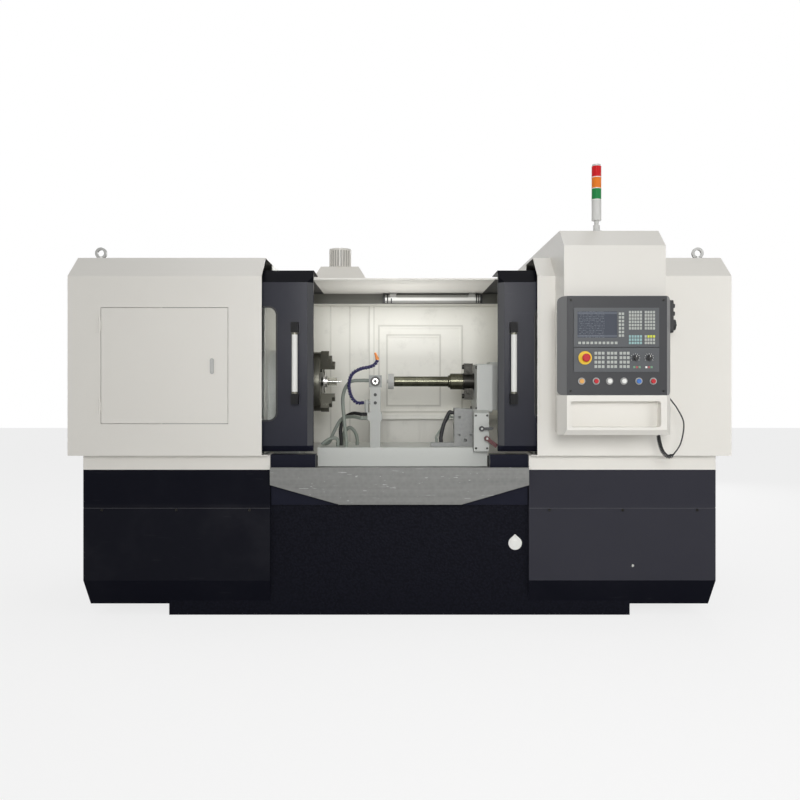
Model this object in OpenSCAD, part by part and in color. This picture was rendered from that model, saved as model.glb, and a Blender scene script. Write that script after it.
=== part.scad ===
// Internal cylindrical grinding machine with sliding doors and a numeric control console.
// Millimetres. +X to the operator's right, +Y to the rear, +Z up.
// Origin on the floor, at the middle of the overall width and depth.

/* [Overall] */
// Width over the two enclosures
overall_w = 3520; // [3300:10:3700]
// Depth from the emergency stop to the rear panels
overall_d = 1800; // [1750:10:1900]
// Clear width between the two enclosures
opening_w = 1462; // [1440:2:1500]
// Height of the bed and the base skirts
bed_h = 787; // [760:1:800]
// Height of the enclosures above the ceiling
crown_h = 124; // [105:1:180]
// Height of the recessed strips under the enclosures
foot_h = 80; // [70:1:90]
// Depth of the enclosures, front to rear
enclosure_d = 1455; // [1430:1:1480]
// Sheet thickness of the casings
sheet = 4; // [3:0.5:5]
// Height of the sloping front edge of the enclosures
slope_h = 118; // [90:1:130]
// Depth of the sloping front edge of the enclosures
slope_d = 150; // [120:1:170]
// Set-back of the base below the enclosures
base_setback = 64; // [55:1:75]

/* [Bed and base] */
// Width of the bed casting
bed_w = 2490; // [2400:10:2600]
// Distance from the skirt face to the bed face
bed_setback = 26; // [20:1:40]
// Ground clearance of the base skirts
skirt_clear = 60; // [40:1:80]
// Height of the skirts' tapered lower edge
skirt_taper_h = 131; // [100:1:150]
// Inward taper of the skirts' lower edge
skirt_taper_d = 30; // [15:1:45]
// Inner end of each skirt, from the middle
skirt_inner = 696; // [690:1:702]
// Height of the joint line across the skirts
skirt_seam = 581; // [500:1:620]
// Diameter of the oil sight disc
oil_sight_d = 72; // [50:1:90]

/* [Work zone] */
// Height of the ceiling
ceiling_z = 1815; // [1800:1:1830]
// Thickness of the roof panel
roof_t = 8; // [6:1:12]
// Distance of the back wall behind the enclosure front
back_wall_y = 1000; // [980:1:1050]
// Distance of the grinding axis behind the enclosure front
axis_back = 400; // [390:1:410]
// Height of the grinding axis
axis_z = 1263; // [1250:1:1275]
// Length of the work table
table_l = 945; // [900:5:960]
// Width of the work table, front to rear
table_d = 470; // [420:5:500]
// Thickness of the work table
table_h = 107; // [100:1:111]
// Distance of the table's front edge behind the enclosure front
table_back = 230; // [225:1:240]

/* [Doors] */
// Width of each sliding door
door_w = 805; // [790:1:820]
// Inner edge of the left door when open
left_door_edge = 464; // [450:1:480]
// Inner edge of the right door when open
right_door_edge = 532; // [520:1:545]
// Distance of the door faces behind the enclosure front
door_back = 45; // [38:1:52]
// Height of the doors' lower edge above that of the enclosures
door_lift = 17; // [12:1:22]
// Width of a door window
window_w = 430; // [350:5:480]
// Height of a door window
window_h = 601; // [500:1:660]
// Height of a door window's middle
window_z = 1356; // [1340:1:1390]
// Diameter of a door handle tube
handle_d = 31; // [28:1:40]
// Overall length of a door handle
handle_l = 435; // [380:5:480]
// Distance of the access door from the enclosure's outer side
access_out = 178; // [160:1:190]
// Distance of the access door from the door opening
access_in = 180; // [160:1:220]
// Height of the access door
access_h = 613; // [560:1:640]
// Height of the access door's lower edge
access_z = 1038; // [1000:1:1060]

/* [Workhead] */
// Chuck diameter
chuck_d = 340; // [315:1:360]
// Chuck thickness
chuck_t = 90; // [80:1:100]
// Distance of the chuck face from the middle
chuck_face = 444; // [430:1:455]
// Width of a chuck jaw
jaw_w = 46; // [40:1:52]
// Diameter of the work spindle
spindle_d = 100; // [90:1:110]
// Diameter of the spindle pulley
spindle_pulley_d = 200; // [190:1:210]
// Diameter of the motor pulley
motor_pulley_d = 110; // [100:1:120]
// Diameter of the spindle motor
motor_d = 190; // [170:1:200]

/* [Wheelhead] */
// Quill diameter
quill_d = 58; // [50:1:64]
// Length of the quill ahead of its hub
quill_l = 323; // [300:1:330]
// Grinding wheel diameter
wheel_d = 88; // [70:1:92]
// Grinding wheel width
wheel_t = 34; // [25:1:40]
// Distance of the wheelhead plate from the middle
plate_x = 430; // [425:1:440]
// Thickness of the wheelhead plate
plate_t = 85; // [75:1:90]
// Longitudinal travel of the wheelhead
wheelhead_travel = 220; // [180:5:225]

/* [Control] */
// Left side of the control cabinet
cabinet_x0 = 826; // [815:1:835]
// Width of the control cabinet
cabinet_w = 511; // [505:1:520]
// Reach of the control cabinet ahead of the enclosures
cabinet_reach = 234; // [225:1:240]
// Height of the control cabinet above the enclosures
cabinet_rise = 100; // [85:1:120]
// Height of the cabinet's overhanging lower edge
cabinet_bottom = 993; // [980:1:1005]
// Thickness of the console housing
console_t = 66; // [60:1:72]
// Height of the console's lower edge
console_z0 = 1191; // [1185:1:1200]
// Height of the console's upper edge
console_z1 = 1683; // [1675:1:1690]
// Height of the signal tower above the cabinet
tower_h = 357; // [320:1:380]

/* [Hidden] */
$fn = 48;

// Colours
WHITE = [0.85, 0.84, 0.81];
NAVY = [0.10, 0.11, 0.15];
GREY = [0.62, 0.63, 0.62];
PALE = [0.80, 0.82, 0.78];
BLACK = [0.06, 0.06, 0.06];
STEEL = [0.70, 0.70, 0.68];
OILED = [0.45, 0.42, 0.30];
SLATE = [0.22, 0.23, 0.25];

// Clearances: running fit, sliding gap, sheet gap and a cut's overshoot
running = 0.06;
slip = 0.3;
seam = 2.5;
eps = 1;

// Places that follow from the driving dimensions
half_w = overall_w / 2;
opening = opening_w / 2;
rear_y = overall_d / 2;
front_y = rear_y - enclosure_d;
base_front = front_y + base_setback;
base_rear = rear_y - base_setback;
base_half = half_w - base_setback + 4;
bed_front = base_front + bed_setback;
bed_rear = base_rear - bed_setback;
axis_y = front_y + axis_back;
table_front = front_y + table_back;
table_mid = 18;
door_y = front_y + door_back;
roof_top = ceiling_z + roof_t;
enclosure_bottom = bed_h + foot_h;
table_top = bed_h + table_h;
door_bottom = enclosure_bottom + door_lift;
enclosure_top = ceiling_z + crown_h;
cabinet_top = enclosure_top + cabinet_rise;
access_edge = half_w - access_out;
access_w = access_edge - opening - access_in;

// A flat outline in Y and Z, drawn out along X
module along_x(x0, x1) {
    translate([x0, 0, 0]) rotate([90, 0, 90]) linear_extrude(x1 - x0) children();
}

// A flat outline in X and Z, drawn out along Y
module along_y(y0, y1) {
    translate([0, y1, 0]) rotate([90, 0, 0]) linear_extrude(y1 - y0) children();
}

// A box between two corners
module box(low, high) {
    translate(low) cube(high - low);
}

// A rod along X, Y or Z from a start point
module rod_x(p, l, r) {
    translate(p) rotate([0, 90, 0]) cylinder(h = l, r = r);
}

module rod_y(p, l, r) {
    translate(p) rotate([-90, 0, 0]) cylinder(h = l, r = r);
}

module rod_z(p, l, r) {
    translate(p) cylinder(h = l, r = r);
}

// A rectangle with round corners, from its lower left corner
module round_rect(low, high, r) {
    translate(low + [r, 0]) square(high - low - [2 * r, 0]);
    translate(low + [0, r]) square(high - low - [0, 2 * r]);
    for (x = [low.x + r, high.x - r], y = [low.y + r, high.y - r])
        translate([x, y]) circle(r);
}

// Swept tubes: a ring of points at each point of a route, joined by flat strips
function unit(v) = v / norm(v);
function heading(path, i) = unit(path[min(i + 1, len(path) - 1)] - path[max(i - 1, 0)]);
function side_of(t) = abs(t.z) < 0.9 ? unit(cross(t, [0, 0, 1])) : unit(cross(t, [0, 1, 0]));
function spline(a, b, c, d, t) = 0.5 * ((2 * b) + (c - a) * t + (2 * a - 5 * b + 4 * c - d) * t * t
    + (3 * b - a - 3 * c + d) * t * t * t);
function smooth(p, n) = [for (i = [0:len(p) - 2], k = [0:n - 1])
    spline(p[max(i - 1, 0)], p[i], p[i + 1], p[min(i + 2, len(p) - 1)], k / n), p[len(p) - 1]];

// The frame is carried from ring to ring so that the tube never twists
function carried(path, i) = i == 0 ? side_of(heading(path, 0))
    : let(t = heading(path, i), s = carried(path, i - 1)) unit(s - t * (s * t));

module sweep(path, radii, sides = 8) {
    rings = len(path);
    points = [for (i = [0:rings - 1])
        let(t = heading(path, i), u = carried(path, i), v = cross(t, u))
        for (k = [0:sides - 1]) path[i] + radii[i] * (u * cos(360 * k / sides) + v * sin(360 * k / sides))];
    walls = [for (i = [0:rings - 2], k = [0:sides - 1])
        let(a = i * sides + k, b = i * sides + (k + 1) % sides)
        each [[a, a + sides, b + sides], [a, b + sides, b]]];
    near = [for (k = [0:sides - 1]) k];
    far = [for (k = [sides - 1:-1:0]) (rings - 1) * sides + k];
    polyhedron(points, concat(walls, [near, far]));
}

module tube(points, r, n = 4, sides = 8) {
    path = smooth(points, n);
    sweep(path, [for (p = path) r], sides);
}

// Straight ends of a hose: up off a level face, down onto one, and to or from an upright face on its right
function rising(x, y, z) = [for (h = [slip, 16, 34]) [x, y, z + h]];
function falling(x, y, z) = [for (h = [34, 16, slip]) [x, y, z + h]];
function into(x, y, z) = [for (d = [40, 20, slip]) [x - d, y, z]];
function out_of(x, y, z) = [for (d = [slip, 14, 28]) [x - d, y, z]];

// Base

module bed() {
    color(NAVY) difference() {
        box([-bed_w / 2, bed_front, 0], [bed_w / 2, bed_rear, bed_h]);
        oil_sight_seat();
    }
}

oil_sight_at = [625, 388];
oil_sight_t = 8;
oil_sight_sunk = 3;
oil_sight_hole = 5;

module oil_sight_outline(grow) {
    r = oil_sight_d / 2 + grow;
    tip = 1.35 * r;
    lean = acos(r / tip);
    translate(oil_sight_at) {
        circle(r);
        polygon([[0, 0], r * [cos(lean), sin(lean)], [0, tip], r * [-cos(lean), sin(lean)]]);
    }
}

module oil_sight_seat() {
    along_y(bed_front - eps, bed_front + oil_sight_sunk) oil_sight_outline(slip);
}

module oil_sight() {
    color("white") difference() {
        along_y(bed_front + oil_sight_sunk - oil_sight_t, bed_front + oil_sight_sunk) oil_sight_outline(0);
        rod_y([oil_sight_at.x, bed_front - oil_sight_t - eps, oil_sight_at.y + oil_sight_d / 2],
            oil_sight_t, oil_sight_hole);
    }
}

// The skirt's outer form: straight above, tapering in below
module skirt_form(inset) {
    z0 = skirt_clear;
    z1 = skirt_clear + skirt_taper_h;
    y0 = base_front + inset;
    y1 = base_rear - inset;
    x0 = -base_half + inset;
    intersection() {
        along_x(-half_w, -skirt_inner) polygon([[y0 + skirt_taper_d, z0], [y0, z1], [y0, bed_h - inset],
            [y1, bed_h - inset], [y1, z1], [y1 - skirt_taper_d, z0]]);
        along_y(base_front - eps, base_rear + eps) polygon([[x0 + skirt_taper_d, z0], [x0, z1],
            [x0, bed_h - inset], [0, bed_h - inset], [0, z0]]);
    }
}

skirt_flange = 20;
skirt_joint = 3;
skirt_joint_d = 1.5;

module skirt() {
    difference() {
        skirt_form(0);
        difference() {
            skirt_form(sheet);
            box([-half_w, base_front, bed_h - skirt_flange], [-base_half, base_rear, bed_h]);
        }
        // Room for the bed and an open top inside the flange
        box([-bed_w / 2 - slip, bed_front, -eps], [0, bed_rear, bed_h + eps]);
        box([-base_half + sheet + skirt_flange, base_front + sheet + skirt_flange, skirt_seam],
            [-bed_w / 2, base_rear - sheet - skirt_flange, bed_h + eps]);
        box([-half_w, base_front, -eps], [-base_half + sheet + skirt_taper_d, base_rear, skirt_clear]);
        box([-base_half + sheet + skirt_taper_d, base_front + sheet + skirt_taper_d, -eps],
            [-skirt_inner, base_rear - sheet - skirt_taper_d, skirt_clear + sheet]);
        // Joint line between the upper and lower panels
        box([-half_w, base_front - eps, skirt_seam],
            [-skirt_inner, base_front + skirt_joint_d, skirt_seam + skirt_joint]);
        box([-half_w, base_front, skirt_seam],
            [-base_half + skirt_joint_d, base_rear, skirt_seam + skirt_joint]);
    }
}

module base_skirts() {
    color(NAVY) {
        skirt();
        mirror([1, 0, 0]) skirt();
    }
}

// Enclosures

module enclosure_outline(inset, bottom) {
    polygon([[front_y + inset, bottom], [front_y + inset, enclosure_top - slope_h],
        [front_y + slope_d + inset * 0.1, enclosure_top - inset], [rear_y - inset, enclosure_top - inset],
        [rear_y - inset, bottom]]);
}

foot_in = 12;

module enclosure() {
    floor_z = enclosure_bottom + sheet;
    difference() {
        union() {
            along_x(-half_w, -opening) enclosure_outline(0, enclosure_bottom);
            box([-opening - eps, front_y, enclosure_bottom], [-skirt_inner, rear_y, floor_z]);
        }
        along_x(-half_w + sheet, -opening + eps) enclosure_outline(sheet, floor_z);
        box([-base_half + sheet + foot_in, base_front + sheet + foot_in, enclosure_bottom - eps],
            [-skirt_inner - sheet - foot_in, base_rear - sheet - foot_in, floor_z + eps]);
    }
    // Recessed strip that stands on the base
    difference() {
        box([-base_half, base_front, bed_h], [-skirt_inner, base_rear, enclosure_bottom]);
        box([-base_half + sheet, base_front + sheet, bed_h - eps],
            [-skirt_inner - sheet, base_rear - sheet, enclosure_bottom + eps]);
    }
}

hinge_r = 6;
hinge_pin_r = 3;
hinge_leaf_l = 40;
hinge_ear_l = 20;
hinge_out = 3;
hinge_at = [-access_edge - hinge_r - eps, front_y - hinge_out];
hinge_zs = [access_z + 90, access_z + access_h - 90];

module access_opening(grow, y0, y1) {
    box([-access_edge - grow, y0, access_z - grow],
        [-access_edge + access_w + grow, y1, access_z + access_h + grow]);
}

// Fixed ears and pin of one access door hinge
module hinge_ears(z) {
    low = z - hinge_leaf_l / 2 - slip - hinge_ear_l;
    total = hinge_leaf_l + 2 * (hinge_ear_l + slip);
    rod_z([hinge_at.x, hinge_at.y, low], total, hinge_pin_r);
    for (e = [low, low + total - hinge_ear_l]) {
        rod_z([hinge_at.x, hinge_at.y, e], hinge_ear_l, hinge_r);
        box([hinge_at.x - 22, front_y - hinge_out, e], [hinge_at.x, front_y + eps, e + hinge_ear_l]);
    }
}

module left_enclosure() {
    color(WHITE) {
        difference() {
            enclosure();
            access_opening(seam, front_y - eps, front_y + sheet + eps);
            // Gap in the foot strip that the workhead stands through
            box([-opening - eps, axis_y - workhead_half - workhead_gap, bed_h - eps],
                [-skirt_inner + eps, axis_y + workhead_half + workhead_gap, enclosure_bottom + 2 * sheet]);
            for (z = hinge_zs)
                box([hinge_at.x - hinge_r - eps, front_y - eps, z - hinge_leaf_l / 2 - slip],
                    [-access_edge, front_y + sheet + eps, z + hinge_leaf_l / 2 + slip]);
        }
        for (z = hinge_zs)
            hinge_ears(z);
    }
}

module right_enclosure() {
    color(WHITE) mirror([1, 0, 0]) enclosure();
}

roof_front = front_y + 110;
header_y = front_y + 822;
header_z = ceiling_z - 64;
roof_rear = front_y + back_wall_y + 10;
guard_front = front_y + 120;
return_rear = front_y + 400;
workhead_half = 175;
workhead_gap = 6;
wheelhead_half = 110;
wheelhead_gap = 25;
wheelhead_z0 = 1100;
wheelhead_z1 = axis_z + 110;

// Side wall of the work zone, stepped at the top to let the door hangers by
module guard_side() {
    polygon([[guard_front, enclosure_bottom + sheet], [rear_y - sheet, enclosure_bottom + sheet],
        [rear_y - sheet, enclosure_top - sheet], [return_rear, enclosure_top - sheet],
        [return_rear, ceiling_z], [guard_front, ceiling_z]]);
}

frame_bar = 14;
frame_t = 12;

// Raised picture-frame moulding on the back wall
module wall_frame(x0, x1, z0, z1, y) {
    difference() {
        box([x0, y - frame_t, z0], [x1, y + eps, z1]);
        box([x0 + frame_bar, y - frame_t - eps, z0 + frame_bar],
            [x1 - frame_bar, y + 2 * eps, z1 - frame_bar]);
    }
}

// Upright folds of the back wall: left side, right side and how far each stands out
wall_folds = [[-opening, -439, 30], [-440, -316, 15], [-190, -160, 20]];
// Mouldings: left, right, lower and upper side
wall_mouldings = [[-128, 410, 1070, 1626], [-76, 268, 1110, 1567]];
ledge_z0 = 1023;
ledge_z1 = 1056;
ledge_d = 40;

module back_wall() {
    y = front_y + back_wall_y;
    z = enclosure_bottom + sheet;
    box([-skirt_inner, y, bed_h], [skirt_inner, y + sheet, z + eps]);
    box([-opening, y, z], [opening, y + sheet, header_z]);
    for (f = wall_folds)
        box([f[0], y - f[2], z], [f[1], y + eps, header_z]);
    for (m = wall_mouldings)
        wall_frame(m[0], m[1], m[2], m[3], y);
    box([wall_folds[2][1] - eps, y - ledge_d, ledge_z0], [opening, y + eps, ledge_z1]);
}

module splash_guard() {
    color(PALE) {
        difference() {
            along_x(-opening - sheet, -opening) guard_side();
            box([-opening - 2 * sheet, axis_y - workhead_half - workhead_gap, 0],
                [-opening + eps, axis_y + workhead_half + workhead_gap, axis_z]);
            rod_x([-opening - 2 * sheet, axis_y, axis_z], 3 * sheet, workhead_half + workhead_gap);
        }
        difference() {
            along_x(opening, opening + sheet) guard_side();
            box([opening - eps, axis_y - wheelhead_half - wheelhead_gap, wheelhead_z0 - wheelhead_gap],
                [opening + 2 * sheet, axis_y + wheelhead_half + wheelhead_gap, wheelhead_z1 + wheelhead_gap]);
        }
        back_wall();
    }
}

module roof() {
    color(WHITE) {
        box([-opening, roof_front, ceiling_z], [opening, roof_rear, roof_top]);
        // Header beam that carries the rear edge on the back wall
        box([-opening, header_y, header_z], [opening, roof_rear, ceiling_z + eps]);
    }
}

table_x0 = table_mid - table_l / 2;
table_x1 = table_mid + table_l / 2;
sill_top = enclosure_bottom - 1;
sill_d = 80;

module door_sills() {
    color(NAVY) {
        box([-skirt_inner, bed_front, bed_h], [table_x0 - slip, bed_front + sill_d, sill_top]);
        box([table_x1 + slip, bed_front, bed_h], [skirt_inner, bed_front + sill_d, sill_top]);
    }
}

apron_y = front_y + 40;
apron_top = bed_h + 13;
apron_low = bed_h - 185;
apron_side = bed_h - 80;
apron_flat = 325;

module apron() {
    half = skirt_inner - seam;
    mid = 5;
    color(GREY) {
        along_y(apron_y, apron_y + sheet) polygon([[-half, apron_top], [-half, apron_side],
            [mid - apron_flat, apron_low], [mid + apron_flat, apron_low],
            [half, apron_side], [half, apron_top]]);
        // Tray floor behind the plate, between the sills
        box([table_x0, apron_y, bed_h], [table_x1, table_front, bed_h + sheet]);
        // Stiffening edge that carries the plate on the bed
        box([-half, apron_y, apron_top - sheet], [half, apron_y + 20, apron_top]);
        box([mid - apron_flat, apron_y, apron_low], [mid + apron_flat, bed_front, apron_low + sheet]);
    }
}

slot_w = 22;
slot_h = 40;

module table() {
    color(PALE) difference() {
        box([table_x0, table_front, bed_h], [table_x1, table_front + table_d, table_top]);
        box([table_x0 - eps, table_front + table_d - 3 * slot_w, table_top - slot_h],
            [table_x1 + eps, table_front + table_d - 2 * slot_w, table_top + eps]);
    }
}

rail_y = front_y + 330;
rail_w = 20;
rail_h = 14;

module door_rail() {
    color(STEEL) box([-half_w + sheet, rail_y - rail_w / 2, roof_top],
        [half_w - sheet, rail_y + rail_w / 2, roof_top + rail_h]);
}

lamp_r = 27;
lamp_x0 = -86;
lamp_l = 590;
lamp_y = front_y + 790;

module work_lamp() {
    z = ceiling_z - lamp_r - 8;
    color("white") {
        rod_x([lamp_x0, lamp_y, z], lamp_l, lamp_r);
        for (x = [lamp_x0 - 14, lamp_x0 + lamp_l])
            rod_x([x, lamp_y, z], 14, lamp_r + 3);
        for (x = [lamp_x0 + 30, lamp_x0 + lamp_l - 70])
            box([x, lamp_y - 30, z], [x + 40, lamp_y + 30, ceiling_z]);
    }
}

mist_at = [-366, front_y + 880];
mist_foot = 420;
mist_neck = 233;
mist_d = 137;
mist_base_h = 153;
mist_h = 114;
mist_ribs = 24;

module mist_extractor() {
    color(WHITE) translate([mist_at.x, mist_at.y, roof_top]) {
        // Tapered duct hood with a rolled foot, held clear of the roof's rear edge
        translate([0, -mist_foot / 6, 0]) {
            linear_extrude(mist_base_h, scale = mist_neck / mist_foot)
                square([mist_foot, mist_foot / 2], center = true);
            rod_z([0, 0, mist_base_h - eps], mist_h - 12 + eps, mist_d / 2 - 5);
            for (k = [0:mist_ribs - 1])
                rotate(k * 360 / mist_ribs) translate([mist_d / 2 - 8, -3, mist_base_h - eps])
                    cube([8, 6, mist_h - 12 + eps]);
            rod_z([0, 0, mist_base_h + mist_h - 12], 12, mist_d / 2);
        }
    }
}

eye_r = 32;
eye_hole_r = 18;
eye_t = 16;
eye_lift = 34;
// Share of the half width at which the lifting eyes stand
eye_share = 331 / 352;
eye_ys = [front_y + 212, rear_y - 212];

module lifting_eyes() {
    color(STEEL) for (x = [-eye_share, eye_share] * half_w, y = eye_ys) {
        difference() {
            union() {
                rod_y([x, y - eye_t / 2, enclosure_top + eye_lift], eye_t, eye_r);
                rod_z([x, y, enclosure_top], eye_lift - eye_hole_r, 14);
                rod_z([x, y, enclosure_top], 8, 26);
            }
            rod_y([x, y - eye_r, enclosure_top + eye_lift], 2 * eye_r, eye_hole_r);
        }
    }
}

// Sliding doors, drawn as the left one

door_top = ceiling_z + 49;
door_fold = 70;
door_fold_d = 62;
door_toe_h = 32;
door_toe_d = 45;
return_y = rail_y + 22;
door_edge_d = 40;
door_bevel = 30;
door_return = 30;
window_in = 198;
window_r = 40;
window_lap = 15;
window_t = 6;
hanger_l = 80;
hanger_in = 120;
hanger_d = 22;
hanger_clear = 2;

module door_outline() {
    inner = door_y + sheet;
    polygon([[door_y + door_toe_d, door_bottom], [door_y, door_bottom + door_toe_h],
        [door_y, door_top - door_fold], [door_y + door_fold_d, door_top],
        [return_y, door_top], [return_y, door_top - sheet],
        [door_y + door_fold_d + 0.4 * sheet, door_top - sheet],
        [inner, door_top - door_fold - 0.4 * sheet], [inner, door_bottom + door_toe_h + 0.5 * sheet],
        [door_y + door_toe_d, door_bottom + 1.3 * sheet]]);
}

module window_outline(edge, grow) {
    round_rect([-edge - window_in - window_w - grow, window_z - window_h / 2 - grow],
        [-edge - window_in + grow, window_z + window_h / 2 + grow], window_r);
}

module hanger(x) {
    gap = rail_w / 2 + slip;
    difference() {
        box([x - hanger_l / 2, rail_y - hanger_d, roof_top + hanger_clear],
            [x + hanger_l / 2, return_y, door_top - sheet]);
        box([x - hanger_l, rail_y - gap, 0], [x + hanger_l, rail_y + gap, roof_top + rail_h + slip]);
    }
}

// The space inside the door's folds, front to rear of the bevelled edge
module door_space() {
    rear = door_y + door_fold_d + door_edge_d;
    polygon([[door_y + door_toe_d, door_bottom], [door_y, door_bottom + door_toe_h],
        [door_y, door_top - door_fold], [door_y + door_fold_d, door_top],
        [rear, door_top], [rear, door_bottom]]);
}

// Bevelled sheet and its return along the leading edge
module door_lead(edge) {
    y0 = door_y;
    y1 = door_y + door_bevel;
    y2 = y1 + door_return;
    turn = 0.42 * sheet;
    intersection() {
        along_x(-edge - 2 * door_bevel, -edge) door_space();
        translate([0, 0, door_bottom]) linear_extrude(door_top - door_bottom) polygon([
            [-edge - door_bevel, y0], [-edge, y1], [-edge, y2], [-edge - sheet, y2],
            [-edge - sheet, y1 + turn], [-edge - door_bevel - turn, y0 + sheet],
            [-edge - door_bevel - sheet, y0 + sheet], [-edge - door_bevel - sheet, y0]]);
    }
}

module door(edge) {
    difference() {
        union() {
            along_x(-edge - door_w, -edge) door_outline();
            box([-edge - door_w, door_y + eps, door_bottom + door_toe_h],
                [-edge - door_w + sheet, door_y + door_edge_d, door_top - door_fold]);
        }
        along_y(door_y - eps, door_y + sheet + eps) window_outline(edge, 0);
        translate([0, 0, door_bottom - eps]) linear_extrude(door_top - door_bottom + 2 * eps) polygon([
            [-edge - door_bevel - eps, door_y - eps], [-edge + eps, door_y - eps],
            [-edge + eps, door_y + door_bevel + eps]]);
    }
    door_lead(edge);
    for (x = [-edge - hanger_in, -edge - door_w + hanger_in])
        hanger(x);
}

module window(edge) {
    along_y(door_y + sheet, door_y + sheet + window_t) window_outline(edge, window_lap);
}

handle_z = 1358;
handle_out = 62;
handle_end = 56;
handle_lap = 5;
handle_wall = 3;

module handle(x) {
    half = handle_l / 2;
    wide = handle_d / 2 + handle_wall;
    rod_z([x, door_y - handle_out + handle_d / 2, handle_z - half + handle_end - handle_lap],
        handle_l - 2 * handle_end + 2 * handle_lap, handle_d / 2);
    for (z = [handle_z - half, handle_z + half - handle_end])
        box([x - wide, door_y - handle_out - handle_wall, z], [x + wide, door_y, z + handle_end]);
}

left_handle_in = 92;
right_handle_in = 75;

module left_door() {
    color(NAVY) door(left_door_edge);
}

module left_window() {
    color("lightgray", 0.4) window(left_door_edge);
}

module left_handle() {
    color("white") handle(-left_door_edge - left_handle_in);
}

module right_door() {
    color(NAVY) mirror([1, 0, 0]) door(right_door_edge);
}

module right_window() {
    color("lightgray", 0.4) mirror([1, 0, 0]) window(right_door_edge);
}

module right_handle() {
    color("white") handle(right_door_edge + right_handle_in);
}

// Access door in the left enclosure

access_t = 20;
latch_in = 83;
latch_at = [-opening - access_in - latch_in, access_z + access_h / 2 - 2.5];
latch_r = 10;
latch_l = 84;
cam_l = 105;

module access_door() {
    color(WHITE) {
        difference() {
            access_opening(0, front_y, front_y + access_t);
            access_opening(-sheet, front_y + sheet, front_y + access_t + eps);
            rod_y([latch_at.x, front_y - eps, latch_at.y], access_t, latch_r + running);
        }
        for (z = hinge_zs)
            difference() {
                union() {
                    rod_z([hinge_at.x, hinge_at.y, z - hinge_leaf_l / 2], hinge_leaf_l, hinge_r);
                    box([hinge_at.x, hinge_at.y, z - hinge_leaf_l / 2],
                        [-access_edge + sheet, front_y + sheet, z + hinge_leaf_l / 2]);
                }
                rod_z([hinge_at.x, hinge_at.y, z - hinge_leaf_l], 2 * hinge_leaf_l, hinge_pin_r + running);
            }
    }
}

module access_latch() {
    cam_y = front_y + access_t + 0.5;
    color(STEEL) {
        rod_y([latch_at.x, front_y - 2 * slip, latch_at.y], access_t + 3, latch_r);
        along_y(front_y - 6 - slip, front_y - slip)
            round_rect(latch_at - [10, latch_l / 2], latch_at + [10, latch_l / 2], 9.9);
        box([latch_at.x - 9, cam_y, latch_at.y - 9], [latch_at.x + 9, cam_y + 4, latch_at.y + cam_l]);
    }
}

// Workhead: casting, spindle, chuck and belt drive

workhead_x0 = -1180;
workhead_x1 = -560;
pad_top = axis_z + workhead_half + 10;
motor_foot = 30;
motor_z = pad_top + motor_foot + motor_d / 2;
pulley_x = -1240;
pulley_w = 50;
belt_w = 36;
belt_t = 6;
groove = 8;
motor_shaft_r = 14;
motor_shaft_l = 90;

module workhead() {
    color(PALE) difference() {
        union() {
            along_x(workhead_x0, workhead_x1) {
                translate([axis_y - workhead_half, bed_h]) square([2 * workhead_half, axis_z - bed_h]);
                translate([axis_y, axis_z]) circle(workhead_half);
            }
            box([-1120, axis_y - 110, axis_z], [-820, axis_y + 110, pad_top]);
        }
        rod_x([workhead_x0 - eps, axis_y, axis_z], workhead_x1 - workhead_x0 + 2 * eps,
            spindle_d / 2 + running);
    }
}

// A flanged flat-belt pulley, turned from one piece
module pulley(d) {
    r = d / 2;
    rotate([0, 90, 0]) rotate_extrude() polygon([[0, 0], [r, 0], [r, 4], [r - groove, 6],
        [r - groove, pulley_w - 6], [r, pulley_w - 4], [r, pulley_w], [0, pulley_w]]);
}

flange_r = 110;
pin_r = 7;
pin_l = 113;
stop_r = 66;
stop_out = 13;
stop_t = 6;

module work_spindle() {
    back = -chuck_face - chuck_t;
    color(STEEL) translate([0, axis_y, axis_z]) {
        rod_x([pulley_x, 0, 0], back - pulley_x, spindle_d / 2);
        translate([pulley_x, 0, 0]) pulley(spindle_pulley_d);
        rod_x([workhead_x1 + slip, 0, 0], back - workhead_x1 - slip, flange_r);
        rod_x([back - eps, 0, 0], chuck_t + pin_l + eps, pin_r);
        rod_x([-chuck_face + stop_out, 0, 0], stop_t, stop_r);
        rod_x([-chuck_face + stop_out, 0, 0], 3 * stop_t, stop_r / 2);
    }
}

chuck_bore_r = 30;
jaw_neck_w = 30;
jaw_neck_d = 16;
jaw_foot_d = 26;
jaw_in = 92;
jaw_out = 160;
jaw_steps = [[186, 46], [157, 62], [118, 78]];
jaw_travel = 12;
jaw_angles = [0, 120, 240];

module jaw_slot() {
    neck = jaw_neck_w / 2 + slip;
    foot = jaw_w / 2 + slip;
    depth = jaw_neck_d + jaw_foot_d;
    box([-chuck_face - jaw_neck_d - eps, jaw_in - 2 * jaw_travel, -neck], [-chuck_face + eps, chuck_d, neck]);
    box([-chuck_face - depth, jaw_in - 2 * jaw_travel, -foot], [-chuck_face - jaw_neck_d, chuck_d, foot]);
}

module chuck() {
    color(BLACK) translate([0, axis_y, axis_z]) difference() {
        translate([-chuck_face - chuck_t, 0, 0]) rotate([0, 90, 0]) rotate_extrude() polygon([
            [chuck_bore_r, 0], [chuck_d / 2 - 14, 0], [chuck_d / 2 - 14, 18], [chuck_d / 2, 18],
            [chuck_d / 2, chuck_t - 4], [chuck_d / 2 - 4, chuck_t], [chuck_bore_r, chuck_t]]);
        for (a = jaw_angles)
            rotate([a, 0, 0]) jaw_slot();
    }
}

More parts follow.
